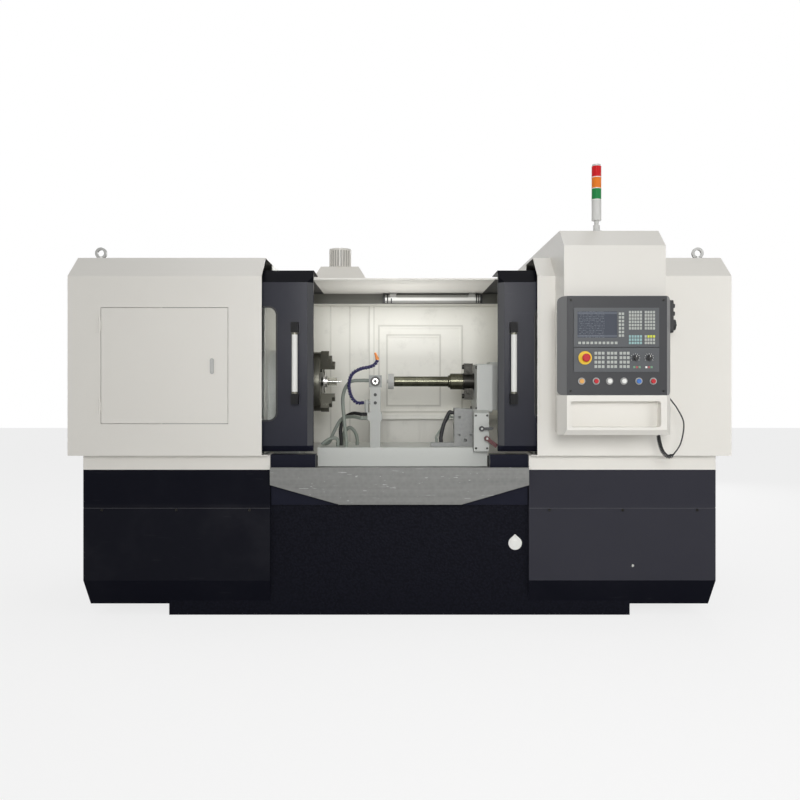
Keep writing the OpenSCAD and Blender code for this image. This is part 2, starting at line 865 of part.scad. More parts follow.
// One jaw: a foot in the T-slot, a neck and rising steps towards the centre
module jaw(k) {
    depth = jaw_neck_d + jaw_foot_d;
    color(BLACK) translate([0, axis_y, axis_z]) rotate([jaw_angles[k], 0, 0]) {
        box([-chuck_face - depth + slip, jaw_in, -jaw_w / 2],
            [-chuck_face - jaw_neck_d - slip, jaw_out - 10, jaw_w / 2]);
        box([-chuck_face - jaw_neck_d - 2 * slip, jaw_in, -jaw_neck_w / 2],
            [-chuck_face + eps, jaw_out - 10, jaw_neck_w / 2]);
        for (s = jaw_steps)
            box([-chuck_face + slip, jaw_in, -jaw_w / 2], [-chuck_face + s[1], s[0], jaw_w / 2]);
    }
}

module chuck_jaw_1() { jaw(0); }
module chuck_jaw_2() { jaw(1); }
module chuck_jaw_3() { jaw(2); }

motor_x0 = -1130;
motor_l = 320;
motor_fins = 20;

module spindle_motor() {
    color(GREY) {
        translate([0, axis_y, motor_z]) difference() {
            union() {
                rod_x([motor_x0, 0, 0], motor_l, motor_d / 2 - 10);
                for (x = [motor_x0, motor_x0 + motor_l - 40])
                    rod_x([x, 0, 0], 40, motor_d / 2);
                for (k = [0:motor_fins - 1])
                    rotate([k * 360 / motor_fins, 0, 0])
                        box([motor_x0 + 30, -2, motor_d / 2 - 15],
                            [motor_x0 + motor_l - 30, 2, motor_d / 2 - 1]);
            }
            rod_x([motor_x0 - eps, 0, 0], motor_shaft_l + eps, motor_shaft_r + running);
        }
        for (x = [motor_x0 + 45, motor_x0 + motor_l - 95])
            box([x, axis_y - 90, pad_top], [x + 50, axis_y + 90, motor_z - motor_d / 2 + 25]);
    }
}

module motor_pulley() {
    color(STEEL) translate([0, axis_y, motor_z]) {
        translate([pulley_x, 0, 0]) pulley(motor_pulley_d);
        rod_x([pulley_x, 0, 0], motor_x0 - pulley_x + motor_shaft_l - 5, motor_shaft_r);
    }
}

// Outline of a belt round both pulleys, in Y and Z from the spindle's centre
module belt_outline(r1, r2) {
    rise = motor_z - axis_z;
    lean = asin((r1 - r2) / rise);
    normal = [cos(lean), sin(lean)];
    across = [-cos(lean), sin(lean)];
    circle(r1);
    translate([0, rise]) circle(r2);
    polygon([r1 * normal, [0, rise] + r2 * normal, [0, rise] + r2 * across, r1 * across]);
}

module drive_belt() {
    r1 = spindle_pulley_d / 2 - groove + slip;
    r2 = motor_pulley_d / 2 - groove + slip;
    x0 = pulley_x + (pulley_w - belt_w) / 2;
    color(BLACK) translate([0, axis_y, axis_z]) along_x(x0, x0 + belt_w) difference() {
        belt_outline(r1 + belt_t, r2 + belt_t);
        belt_outline(r1, r2);
    }
}

// Wheelhead: ways, carriage, cross slide, quill and wheel

carriage_x0 = 980;
carriage_l = half_w - 1240;
ways_end = 20;
ways_x0 = carriage_x0 - wheelhead_travel - ways_end;
ways_x1 = half_w - 120;
ways_y0 = axis_y - 210;
ways_y1 = axis_y + 210;
ways_h = 80;
way_w = 34;
way_h = 30;
way_ys = [axis_y - 140, axis_y + 140];
carriage_z = bed_h + ways_h + way_h + 2;
carriage_t = 48;
block_l = 100;
cross_w = 120;
cross_h = 16;
cross_travel = 12;

module wheelhead_ways() {
    color(STEEL) {
        box([ways_x0, ways_y0, bed_h], [ways_x1, ways_y1, bed_h + ways_h]);
        for (y = way_ys)
            box([ways_x0, y - way_w / 2, bed_h + ways_h - eps],
                [ways_x1, y + way_w / 2, bed_h + ways_h + way_h]);
    }
}

module x_carriage() {
    gap = way_w / 2 + slip;
    color(PALE) {
        box([carriage_x0, ways_y0 + 10, carriage_z],
            [carriage_x0 + carriage_l, ways_y1 - 10, carriage_z + carriage_t]);
        // Bearing blocks that straddle the ways
        for (x = [carriage_x0 + 20, carriage_x0 + carriage_l - block_l - 20], y = way_ys)
            difference() {
                box([x, y - 40, bed_h + ways_h + 3], [x + block_l, y + 40, carriage_z + eps]);
                box([x - eps, y - gap, 0], [x + block_l + eps, y + gap, bed_h + ways_h + way_h + slip]);
            }
        // Key across the top that guides the cross slide
        box([carriage_x0 + (carriage_l - cross_w) / 2, ways_y0 + 10, carriage_z + carriage_t - eps],
            [carriage_x0 + (carriage_l + cross_w) / 2, ways_y1 - 10, carriage_z + carriage_t + cross_h]);
    }
}

cross_z = carriage_z + carriage_t + slip;
plate_y0 = table_front - 30;
plate_y1 = axis_y + 160;
plate_z0 = 1090;
plate_z1 = 1360;
valve_x0 = 410;
valve_x1 = 492;
valve_y = table_front - 70;
valve_rear = table_front - cross_travel - 2;
valve_z0 = table_top - 16;
gusset_x = 312;
gusset_y0 = table_front + 70;
gusset_y1 = table_front + 160;
gusset_z = 1112;
boss_at = [372, table_top + 36];
boss_r = 22;
boss_out = 12;
boss_bore_r = 10;
gusset_holes = [[340, table_top + 66], [404, table_top + 66], [340, table_top + 166]];
gusset_hole_r = 7;
hole_depth = 30;
bar_x = 178;
bar_h = 22;
lever_at = [450, table_top + 110];
drain_at = [478, table_top + 56];
stud_r = 6;
stud_l = 40;

module wheelhead() {
    key = cross_w / 2 + slip;
    mid = carriage_x0 + carriage_l / 2;
    rear = carriage_x0 + carriage_l - 20;
    saddle_half = 150;
    floor_z = table_top + 0.5;
    color(PALE) {
        difference() {
            union() {
                box([carriage_x0 + 20, axis_y - saddle_half, cross_z],
                    [rear, axis_y + saddle_half, wheelhead_z0 + eps]);
                box([plate_x + eps, axis_y - wheelhead_half, wheelhead_z0],
                    [rear, axis_y + wheelhead_half, wheelhead_z1 - 20]);
                along_x(plate_x + plate_t, carriage_x0 + carriage_l - 60) round_rect(
                    [axis_y - wheelhead_half, axis_z - 60], [axis_y + wheelhead_half, wheelhead_z1], 30);
                along_x(plate_x, plate_x + plate_t)
                    round_rect([plate_y0, plate_z0], [plate_y1, plate_z1], 12);
            }
            box([mid - key, axis_y - 200, 0],
                [mid + key, axis_y + 200, carriage_z + carriage_t + cross_h + slip]);
        }
        // Valve block in front of the table
        along_x(valve_x0, valve_x1) polygon([[valve_y, valve_z0], [valve_rear, valve_z0],
            [valve_rear, plate_z0 + 20], [valve_y, plate_z0 - 2]]);
        for (p = [lever_at, drain_at])
            rod_y([p.x, valve_y - stud_l, p.y], stud_l + eps, stud_r);
        // Gusset with a boss and three drilled holes
        difference() {
            union() {
                along_y(gusset_y0, gusset_y1) polygon([[plate_x + eps, floor_z],
                    [plate_x + eps, plate_z0 + 15], [gusset_x, gusset_z], [gusset_x, floor_z]]);
                rod_y([boss_at.x, gusset_y0 - boss_out, boss_at.y], boss_out + eps, boss_r);
            }
            rod_y([boss_at.x, gusset_y0 - boss_out - eps, boss_at.y], boss_out + hole_depth, boss_bore_r);
            for (p = gusset_holes)
                rod_y([p.x, gusset_y0 - eps, p.y], hole_depth, gusset_hole_r);
        }
        // Hose bar along the table
        box([bar_x, gusset_y0 + 10, floor_z], [gusset_x + eps, gusset_y0 + 50, floor_z + bar_h]);
    }
}

clamp_l = 62;
clamp_gap = 3;
hub_l = 72;
hub_r = 46;
wheel_shaft_r = 15;
quill_x0 = plate_x - clamp_l - clamp_gap - hub_l - quill_l;

module quill() {
    r = quill_d / 2;
    flange_r = r + 7;
    color(OILED) translate([0, axis_y, axis_z]) difference() {
        translate([quill_x0, 0, 0]) rotate([0, 90, 0]) rotate_extrude() polygon([
            [0, 0], [r - 3, 0], [r, 3], [r, quill_l - 14], [flange_r, quill_l - 8], [flange_r, quill_l],
            [hub_r - 3, quill_l], [hub_r, quill_l + 3], [hub_r, quill_l + hub_l], [r, quill_l + hub_l],
            [r, plate_x - quill_x0], [0, plate_x - quill_x0]]);
        rod_x([quill_x0 - eps, 0, 0], quill_l + hub_l + eps, wheel_shaft_r + running);
    }
}

module quill_clamp() {
    x0 = plate_x - clamp_l;
    color(BLACK) translate([0, axis_y, axis_z]) difference() {
        union() {
            rod_x([x0, 0, 0], clamp_l, 48);
            for (s = [-1, 1]) {
                box([x0 + 6, -26, min(40 * s, 104 * s)], [x0 + clamp_l - 8, 26, max(40 * s, 104 * s)]);
                rod_x([x0 - 6, 0, 84 * s], 14, 13);
                rod_y([x0 + 30, -60, 60 * s], 120, 9);
            }
        }
        rod_x([x0 - eps, 0, 0], clamp_l + 2 * eps, quill_d / 2 + running);
    }
}

module grinding_wheel() {
    color(GREY) translate([0, axis_y, axis_z]) {
        rod_x([quill_x0 - wheel_t, 0, 0], wheel_t - slip, wheel_d / 2);
        rod_x([quill_x0 - wheel_t, 0, 0], wheel_t + quill_l + hub_l - 5, wheel_shaft_r);
        rod_x([quill_x0 - wheel_t - 6, 0, 0], 7, 11);
    }
}

feed_y = gusset_y0 + 30;
bar_top = table_top + 0.5 + bar_h;
// Coolant feed and air feed, from the gusset down to the hose bar
feed_routes = [
    concat(out_of(gusset_x, feed_y, 1085), [[254, feed_y, 1020]], falling(238, feed_y, bar_top)),
    concat(out_of(gusset_x, feed_y + 26, 1060), [[242, feed_y + 24, 995]], falling(212, feed_y, bar_top))];
feed_rs = [11, 7];

module wheelhead_hose() {
    color(BLACK) for (k = [0, 1])
        tube(feed_routes[k], feed_rs[k], 3);
}

// A quarter-turn lever on its stud: hub, arm and grip
module lever(at, angle, l, w) {
    y0 = valve_y - stud_l + 4;
    difference() {
        union() {
            rod_y([at.x, y0, at.y], stud_l - 8, 14);
            translate([at.x, 0, at.y]) rotate([0, angle, 0])
                box([stud_r + 2, y0 + 2, -w / 2], [l, y0 + 11, w / 2]);
        }
        rod_y([at.x, y0 - 10, at.y], stud_l + 20, stud_r + running);
    }
}

module coolant_lever() {
    color(BLACK) lever(lever_at, 0, 62, 15);
}

module drain_handle() {
    color("firebrick") lever(drain_at, 38, 68, 22);
}

// Dresser and hoses on the table

dresser_x = -134;
dresser_w = 57;
dresser_y0 = table_front + 10;
dresser_d = 64;
dresser_head_w = 70;
dresser_collar = 16;
diamond_gap = 16;
diamond_y = axis_y - wheel_d / 2 - diamond_gap;

module dresser() {
    x0 = dresser_x - dresser_w / 2;
    x1 = dresser_x + dresser_w / 2;
    y1 = dresser_y0 + dresser_d;
    color(PALE) {
        box([x0, dresser_y0, table_top], [x1, y1, axis_z - 30]);
        box([x0 - dresser_collar, dresser_y0 - 4, table_top + 150], [x1 + 8, y1 + 4, table_top + 195]);
        // Head block, its retaining ring and the diamond holder
        box([dresser_x - dresser_head_w / 2, dresser_y0 + 2, axis_z - 34],
            [dresser_x + dresser_head_w / 2, y1, axis_z + 34]);
        difference() {
            rod_y([dresser_x, dresser_y0 - 8, axis_z], 12, 27);
            rod_y([dresser_x, dresser_y0 - 9, axis_z], 5, 17);
        }
        translate([dresser_x, y1 - eps, axis_z]) rotate([-90, 0, 0])
            cylinder(h = diamond_y - y1 + eps, r1 = 14, r2 = 3);
        for (z = [axis_z - 75, axis_z - 120])
            rod_y([dresser_x, dresser_y0 - 5, z], 6, 9);
        // Hose fitting on the post's left side
        rod_z([x0 - 20, dresser_y0 + 20, table_top + 195], 70, 12);
        rod_x([x0 - 34, dresser_y0 + 20, table_top + 250], 34, 9);
    }
}

hose_y = dresser_y0 + 20;
hose_r = 11;
hose_route = [[-197.5, hose_y, 1144], [-236, hose_y, 1146], [-270, hose_y, 1176],
    [-282, hose_y, 1240], [-266, hose_y, 1300], [-220, hose_y, 1330], [-170, hose_y, 1344],
    [-146, hose_y, 1372], [-142, hose_y, 1400]];
hose_steps = 9;

// Ball-jointed hose: a bead at every step, waisted between, with a cone nozzle at its end
module coolant_hose() {
    path = smooth(hose_route, hose_steps);
    nozzle = 6;
    last = len(path) - 1;
    radii = [for (i = [0:last]) i > last - nozzle ? hose_r * (0.5 + 0.4 * (last - i) / nozzle)
        : i % 3 == 0 ? 0.72 * hose_r : hose_r];
    color("darkslateblue") sweep(path, radii, 10);
}

conduit_y = table_front + 150;
conduit_r = 10;
conduit_lie = table_top + conduit_r + slip;
post_side = dresser_x - dresser_w / 2 - dresser_collar;
head_side = dresser_x - dresser_head_w / 2;

conduit_routes = [
    concat([[-430, conduit_y, conduit_lie], [-400, conduit_y, 918], [-372, conduit_y, 980],
        [-330, conduit_y, 1048], [-268, conduit_y - 50, 1062]], into(post_side, hose_y + 12, 1057)),
    concat(rising(-330, conduit_y + 60, table_top), [[-318, conduit_y + 60, 968],
        [-287, conduit_y + 60, 996], [-256, conduit_y + 60, 968]],
        falling(-244, conduit_y + 60, table_top)),
    concat([[-440, conduit_y - 50, conduit_lie], [-404, conduit_y - 50, 932],
        [-366, conduit_y - 50, 941]], falling(-349, conduit_y - 50, table_top)),
    concat(rising(-336, conduit_y + 30, table_top), [[-338, conduit_y + 30, 990],
        [-318, conduit_y + 25, 1050], [-268, conduit_y - 10, 1080]],
        into(post_side, hose_y + 36, 1078)),
    concat(rising(-300, hose_y + 45, table_top), [[-312, hose_y + 45, 1050], [-318, hose_y + 40, 1180],
        [-280, hose_y + 30, 1258]], into(head_side, hose_y + 20, 1268))];

module table_conduits() {
    color("darkgray") for (route = conduit_routes)
        tube(route, conduit_r, 4);
}

// Control cabinet and console

cabinet_x1 = cabinet_x0 + cabinet_w;
cabinet_front = front_y - cabinet_reach;
cabinet_slope_h = 95;
cabinet_slope_d = 120;
console_y = cabinet_front - console_t;
console_x0 = cabinet_x0 + 1;
console_x1 = cabinet_x1 - 15;
console_flare = 37;
console_r = 25;

// Folded box that reaches forward below and runs to the rear over the enclosure
module control_cabinet() {
    color(WHITE) along_x(cabinet_x0, cabinet_x1) polygon([[cabinet_front, cabinet_bottom],
        [cabinet_front, cabinet_top - cabinet_slope_h], [cabinet_front + cabinet_slope_d, cabinet_top],
        [rear_y - 30, cabinet_top], [rear_y - 30, enclosure_top], [front_y + slope_d, enclosure_top],
        [front_y, enclosure_top - slope_h], [front_y, cabinet_bottom]]);
}

// Plan of the flared console and tray fronts, wide at the cabinet
module flared_plan(z0, z1) {
    translate([0, 0, z0]) linear_extrude(z1 - z0) polygon([[console_x0 - console_flare, cabinet_front],
        [console_x0, console_y], [console_x1, console_y], [console_x1 + console_flare, cabinet_front]]);
}

panel_x0 = 861;
panel_x1 = 1282;
panel_sunk = 6;
panel_out = 4;
display_z0 = 1430;
display_z1 = 1624;
keypad_z0 = 1307;
keypad_z1 = 1426;
button_xs = [899, 971, 1037, 1108, 1182, 1253];
button_z = 1261;
button_r = 11;
button_out = 12;
button_l = 46;
bezel_r = 17;
bezel_out = 4;
estop_at = [915, 1376];
estop_r = 20;
estop_collar_r = 33;
estop_out = 45;
knob_xs = [1164, 1232];
knob_z = 1376;
knob_r = 14;
stem_r = 8;
stem_l = 40;

module console_housing() {
    color(SLATE) difference() {
        union() {
            intersection() {
                flared_plan(console_z0, console_z1);
                along_y(console_y - eps, cabinet_front + eps)
                    round_rect([console_x0 - console_flare, console_z0],
                        [console_x1 + console_flare, console_z1], console_r);
            }
            for (x = button_xs)
                rod_y([x, console_y - bezel_out, button_z], bezel_out + eps, bezel_r);
        }
        box([panel_x0 - slip, console_y - eps, keypad_z0 - slip],
            [panel_x1 + slip, console_y + panel_sunk, display_z1 + slip]);
        for (x = button_xs)
            rod_y([x, console_y - 10, button_z], button_l + 12, button_r + running);
        for (p = concat([estop_at], [for (x = knob_xs) [x, knob_z]]))
            rod_y([p.x, console_y, p.y], stem_l + 12, stem_r + running);
    }
}

// A field of square keys: first key's lower left corner, counts, pitch and key size
module keys(at, columns, rows, pitch, size) {
    for (i = [0:columns - 1], k = [0:rows - 1])
        translate(at + [i * pitch.x, k * pitch.y]) square(size);
}

key_out = 2;
screen = [[878, 1476], [1074, 1606]];
// Key fields: lower left corner, columns, rows, pitch and key size
key_fields = [
    [[1132, 1516], 5, 6, [13.6, 16], [10, 12]],
    [[1210, 1516], 4, 6, [13.6, 16], [10, 12]],
    [[1132, 1444], 5, 3, [13.6, 16], [10, 12]],
    [[1210, 1444], 4, 3, [13.6, 16], [10, 12]],
    [[882, 1444], 10, 1, [20, 16], [13, 12]],
    [[1082, 1480], 2, 7, [15, 18], [11, 12]],
    [[962, 1326], 3, 4, [18, 22], [13, 14]],
    [[1024, 1326], 3, 4, [18, 22], [13, 14]],
    [[1086, 1326], 3, 4, [18, 22], [13, 14]]];

module control_panels() {
    y0 = console_y - panel_out;
    y1 = console_y + panel_sunk;
    color(SLATE) {
        difference() {
            box([panel_x0, y0, display_z0], [panel_x1, y1, display_z1]);
            along_y(y0 - eps, y0 + 2) round_rect(screen[0], screen[1], 3);
        }
        difference() {
            union() {
                box([panel_x0, y0, keypad_z0], [panel_x1, y1, keypad_z1]);
                rod_y([estop_at.x, y0 - 5, estop_at.y], 6, estop_collar_r);
            }
            for (p = concat([estop_at], [for (x = knob_xs) [x, knob_z]]))
                rod_y([p.x, y0 - 10, p.y], 30, stem_r + running);
        }
        along_y(y0 - key_out, y0 + eps)
            for (f = key_fields)
                keys(f[0], f[1], f[2], f[3], f[4]);
    }
}

module estop() {
    color("firebrick") {
        y = console_y - estop_out;
        rod_y([estop_at.x, y + 10, estop_at.y], estop_out - 10 + stem_l, stem_r);
        translate([estop_at.x, y, estop_at.y]) rotate([-90, 0, 0]) rotate_extrude() polygon([[0, 0],
            [estop_r - 5, 0], [estop_r, 5], [estop_r, 13], [estop_r - 6, 20], [0, 20]]);
    }
}

module button(k, paint) {
    color(paint) rod_y([button_xs[k], console_y - button_out, button_z], button_l, button_r);
}

module button_1() { button(0, "orange"); }
module button_2() { button(1, "crimson"); }
module button_3() { button(2, "white"); }
module button_4() { button(3, "white"); }
module button_5() { button(4, "royalblue"); }
module button_6() { button(5, "crimson"); }

knob_out = 24;
grip_half = 5;

module knob(k) {
    y = console_y - panel_out - knob_out;
    x = knob_xs[k];
    color(BLACK) {
        rod_y([x, y, knob_z], knob_out + panel_out + stem_l, stem_r);
        difference() {
            rod_y([x, y, knob_z], knob_out - 2, knob_r);
            for (side = [x - grip_half - knob_r, x + grip_half])
                box([side, y - eps, knob_z - 2 * knob_r], [side + knob_r, y + 12, knob_z + 2 * knob_r]);
        }
    }
}

module knob_1() { knob(0); }
module knob_2() { knob(1); }

tray_bevel = 26;
pocket_x0 = 847;
pocket_x1 = 1293;
pocket_z0 = 1033;
pocket_z1 = 1161;

module storage_tray() {
    color(WHITE) difference() {
        intersection() {
            flared_plan(cabinet_bottom, console_z0);
            along_x(cabinet_x0 - 100, cabinet_x1 + 100) polygon([[console_y, cabinet_bottom + tray_bevel],
                [console_y, console_z0], [cabinet_front, console_z0], [cabinet_front, cabinet_bottom],
                [console_y + tray_bevel, cabinet_bottom]]);
        }
        along_y(console_y - eps, cabinet_front - sheet)
            round_rect([pocket_x0, pocket_z0], [pocket_x1, pocket_z1], 14);
    }
}

tower_at = [1031, cabinet_front + cabinet_slope_d + 60];
tower_r = 25;
lens_h = 55;
lens_gap = 4;

module signal_tower() {
    lenses = tower_h - 10 - 3 * (lens_h + lens_gap);
    color("gainsboro") translate([tower_at.x, tower_at.y, cabinet_top]) {
        rod_z([0, 0, 0], 8, 30);
        rod_z([0, 0, 7], 32, 17);
        rod_z([0, 0, 38], 26, 12);
        rod_z([0, 0, 63], lenses - 63 + eps, tower_r);
        for (k = [0:2])
            translate([0, 0, lenses + k * (lens_h + lens_gap)]) {
                rod_z([0, 0, 0], lens_gap + eps, tower_r - 2);
                rod_z([0, 0, lens_gap], lens_h, tower_r);
            }
        rod_z([0, 0, tower_h - 11], 11, tower_r - 3);
    }
}

pendant_x = cabinet_x1 + 8;
pendant_t = 38;
pendant_y0 = cabinet_front + 20;
pendant_w = 70;
pendant_z0 = 1507;
pendant_z1 = 1672;
dial_z = 1548;
dial_r = 28;
dial_t = 16;
dial_shaft_r = 5;

module pendant() {
    mid = pendant_y0 + pendant_w / 2;
    color(BLACK) difference() {
        union() {
            along_x(pendant_x, pendant_x + pendant_t)
                round_rect([pendant_y0, pendant_z0], [pendant_y0 + pendant_w, pendant_z1], 12);
            box([cabinet_x1, mid - 20, pendant_z1 - 60], [pendant_x + eps, mid + 20, pendant_z1 - 20]);
            for (z = [1605, 1645])
                rod_x([pendant_x + pendant_t - eps, mid, z], 16, 11);
            rod_z([pendant_x + pendant_t / 2, mid, pendant_z0 - 22], 24, 9);
        }
        rod_x([pendant_x + 10, mid, dial_z], pendant_t, dial_shaft_r + running);
    }
}

module pendant_wheel() {
    mid = pendant_y0 + pendant_w / 2;
    face = pendant_x + pendant_t + slip;
    color(STEEL) {
        rod_x([pendant_x + 12, mid, dial_z], pendant_t + dial_t - 12, dial_shaft_r);
        rod_x([face, mid, dial_z], dial_t, dial_r);
        rod_x([face + dial_t - eps, mid + 17, dial_z], 16, 5);
    }
}

cord_y = pendant_y0 + pendant_w / 2;
cord_r = 5;
cord_coil_r = 11;
cord_route = [[pendant_x + pendant_t / 2, cord_y, pendant_z0 - 22.5], [1363, cord_y, 1440],
    [1356, cord_y, 1370], [1354, cord_y, 1300]];
cord_coil = [[1354, cord_y, 1300], [1353, cord_y, 1256], [1354, cord_y, 1214]];
cord_loop = [[1354, cord_y, 1214], [1370, cord_y, 1180], [1414, cord_y, 1120], [1446, cord_y, 1045],
    [1430, cord_y, 945], [1392, cord_y, 886]];
cord_end = [[1392, cord_y, 886], [1364, cord_y, 878], [1336, cord_y, 908], [1320, cord_y, 960],
    [1318, cord_y, 990]];

// The cord's two curly lengths are drawn at their outer diameter
module pendant_cord() {
    color(BLACK) {
        tube(cord_route, cord_r, 3);
        tube(cord_coil, cord_coil_r, 3);
        tube(cord_loop, cord_r, 4);
        tube(cord_end, cord_coil_r, 3);
    }
}

bed();
base_skirts();
left_enclosure();
right_enclosure();
splash_guard();
roof();
door_sills();
apron();
table();
door_rail();
work_lamp();
mist_extractor();
lifting_eyes();
control_cabinet();
console_housing();
control_panels();
storage_tray();
signal_tower();
oil_sight();
workhead();
spindle_motor();
drive_belt();
dresser();
coolant_hose();
table_conduits();
wheelhead_ways();
pendant();
pendant_cord();
left_door();
left_window();
left_handle();
right_door();
right_window();
right_handle();
access_door();
access_latch();
chuck();
work_spindle();
chuck_jaw_1();
chuck_jaw_2();
chuck_jaw_3();
motor_pulley();
x_carriage();
wheelhead();
quill();
quill_clamp();
grinding_wheel();
wheelhead_hose();
coolant_lever();
drain_handle();
estop();
button_1();
button_2();
button_3();
button_4();
button_5();
button_6();
knob_1();
knob_2();
pendant_wheel();
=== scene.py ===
"""Internal cylindrical grinding machine: finishes, hoses, fittings, light and camera."""
import math

import bpy
from mathutils import Matrix, Vector


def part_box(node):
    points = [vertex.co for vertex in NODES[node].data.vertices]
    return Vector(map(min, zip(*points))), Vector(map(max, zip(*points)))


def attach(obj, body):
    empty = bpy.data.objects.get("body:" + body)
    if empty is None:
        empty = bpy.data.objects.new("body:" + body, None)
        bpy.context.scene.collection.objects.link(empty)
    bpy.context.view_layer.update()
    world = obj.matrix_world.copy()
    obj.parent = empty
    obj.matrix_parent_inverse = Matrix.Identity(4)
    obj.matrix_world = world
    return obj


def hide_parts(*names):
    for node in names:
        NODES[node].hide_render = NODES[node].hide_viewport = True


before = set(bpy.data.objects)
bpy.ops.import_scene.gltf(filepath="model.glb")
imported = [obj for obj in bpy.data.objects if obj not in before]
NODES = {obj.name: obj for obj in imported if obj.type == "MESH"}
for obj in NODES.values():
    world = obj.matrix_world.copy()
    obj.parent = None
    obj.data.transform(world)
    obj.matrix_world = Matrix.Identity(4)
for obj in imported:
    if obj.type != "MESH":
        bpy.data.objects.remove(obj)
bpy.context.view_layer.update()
MM = 0.001

# Places in mm that several finishes and fittings share
CONSOLE_FACE_Y = -855
UNIT_FACE_Y = -859
KNOB_Z = 1376
DRESSER_X, DRESSER_HEAD_Z = -134, 1263
LAMP_Y, LAMP_Z = 235, 1780
BRACKET_H = 56


# Shader values

class Wire:
    """A value in a material. Arithmetic on it adds Math nodes."""

    def __init__(self, finish, socket):
        self.finish = finish
        self.socket = socket

    def math(self, operation, *values):
        return self.finish.node("ShaderNodeMath", {"operation": operation}, dict(enumerate(values)))

    def __add__(self, other):
        return self.math("ADD", self, other)

    def __sub__(self, other):
        return self.math("SUBTRACT", self, other)

    def __rsub__(self, other):
        return self.math("SUBTRACT", other, self)

    def __mul__(self, other):
        return self.math("MULTIPLY", self, other)

    def __lt__(self, other):
        return self.math("LESS_THAN", self, other)

    def __gt__(self, other):
        return self.math("GREATER_THAN", self, other)

    def __abs__(self):
        return self.math("ABSOLUTE", self)

    __radd__ = __add__
    __rmul__ = __mul__

    def either(self, other):
        return self.math("MAXIMUM", self, other)

    def ramp(self, low, high, start=0.0, end=1.0):
        """Smooth step from start to end as the value goes from low to high."""
        return self.finish.node("ShaderNodeMapRange", {"interpolation_type": "SMOOTHSTEP"},
                                {"Value": self, "From Min": low, "From Max": high,
                                 "To Min": start, "To Max": end})


class Finish:
    """One material and the nodes that vary it over a surface, in metres on Object coordinates."""

    def __init__(self, name, colour, roughness, metallic=0.0, **fixed):
        self.material = bpy.data.materials.new(name)
        self.material.use_nodes = True
        self.tree = self.material.node_tree
        self.shader = self.tree.nodes["Principled BSDF"]
        self.shader.inputs["Base Color"].default_value = (*colour, 1)
        self.shader.inputs["Roughness"].default_value = roughness
        self.shader.inputs["Metallic"].default_value = metallic
        for socket, value in fixed.items():
            self.shader.inputs[socket.replace("_", " ")].default_value = value
        self.material.diffuse_color = (*colour, 1)
        self.place = self.node("ShaderNodeTexCoord", output="Object")
        self.x, self.y, self.z = (
            self.node("ShaderNodeSeparateXYZ", values={0: self.place}, output=axis)
            for axis in "XYZ")

    def node(self, kind, settings=None, values=None, output=0):
        """A new node: its settings first, then the values or links of its sockets."""
        made = self.tree.nodes.new(kind)
        for key, value in (settings or {}).items():
            setattr(made, key, value)
        for key, value in (values or {}).items():
            if isinstance(value, Wire):
                self.tree.links.new(value.socket, made.inputs[key])
            else:
                made.inputs[key].default_value = value
        return Wire(self, made.outputs[output])

    def noise(self, scale, detail=3.0, roughness=0.5, place=None):
        return self.node("ShaderNodeTexNoise", {"noise_dimensions": "3D"},
                         {"Vector": place or self.place, "Scale": scale, "Detail": detail,
                          "Roughness": roughness})

    def cells(self, scale, feature="F1"):
        return self.node("ShaderNodeTexVoronoi", {"feature": feature},
                         {"Vector": self.place, "Scale": scale}, "Distance")

    def stretched(self, x, y, z):
        """The place with each axis scaled, for streaks and brush lines."""
        return self.node("ShaderNodeMapping", {"vector_type": "POINT"},
                         {"Vector": self.place, "Scale": (x, y, z)})

    def from_point(self, x=None, y=None, z=None):
        """Distance from a line through a point, along the axis that isn't given."""
        total = None
        for wire, value in ((self.x, x), (self.y, y), (self.z, z)):
            if value is not None:
                square = (wire - value) * (wire - value)
                total = square if total is None else total + square
        return total.math("SQRT", total)

    def inside(self, wire, low, high):
        return (wire > low) * (wire < high)

    def mix(self, factor, first, second):
        def colour(value):
            return value if isinstance(value, Wire) else (*value, 1)
        return self.node("ShaderNodeMix", {"data_type": "RGBA"},
                         {0: factor, 6: colour(first), 7: colour(second)}, 2)

    def feed(self, socket, wire):
        self.tree.links.new(wire.socket, self.shader.inputs[socket])
        return self

    def bump(self, height, strength, distance):
        values = {"Height": height, "Strength": strength, "Distance": distance}
        return self.feed("Normal", self.node("ShaderNodeBump", values=values))


def tone(colour, factor):
    """A colour made lighter or darker."""
    return tuple(min(1.0, c * factor) for c in colour)


# Finishes

WHITE = (0.745, 0.725, 0.675)
INNER = (0.79, 0.78, 0.715)
NAVY = (0.0052, 0.0056, 0.0100)
CASTING = (0.56, 0.575, 0.545)
SLATE = (0.0165, 0.0175, 0.0205)
BLACK = (0.012, 0.012, 0.013)
PLASTIC_WHITE = (0.80, 0.80, 0.77)


def enamel(name, colour, gloss=0.36, mottle=0.035, peel=0.10, grime=0.0):
    """Sprayed enamel on sheet: orange peel, faint mottling and a little settled grime."""
    paint = Finish(name, colour, gloss, Coat_Roughness=0.25, Specular_IOR_Level=0.45)
    broad = paint.noise(1.7, 4)
    fine = paint.noise(34, 3)
    shade = paint.mix(broad, tone(colour, 1 - mottle), tone(colour, 1 + mottle))
    stain = paint.noise(7, 6, 0.7).ramp(0.52, 0.72) * (grime + 0.02)
    paint.shade = paint.mix(stain, shade, tone(colour, 0.55))
    paint.feed("Base Color", paint.shade)
    paint.feed("Roughness", gloss + (fine - 0.5) * 0.16 + stain * 0.3)
    paint.feed("Coat Weight", 0.25 - stain * 0.25)
    return paint.bump(paint.noise(330, 2), peel, 0.0008)


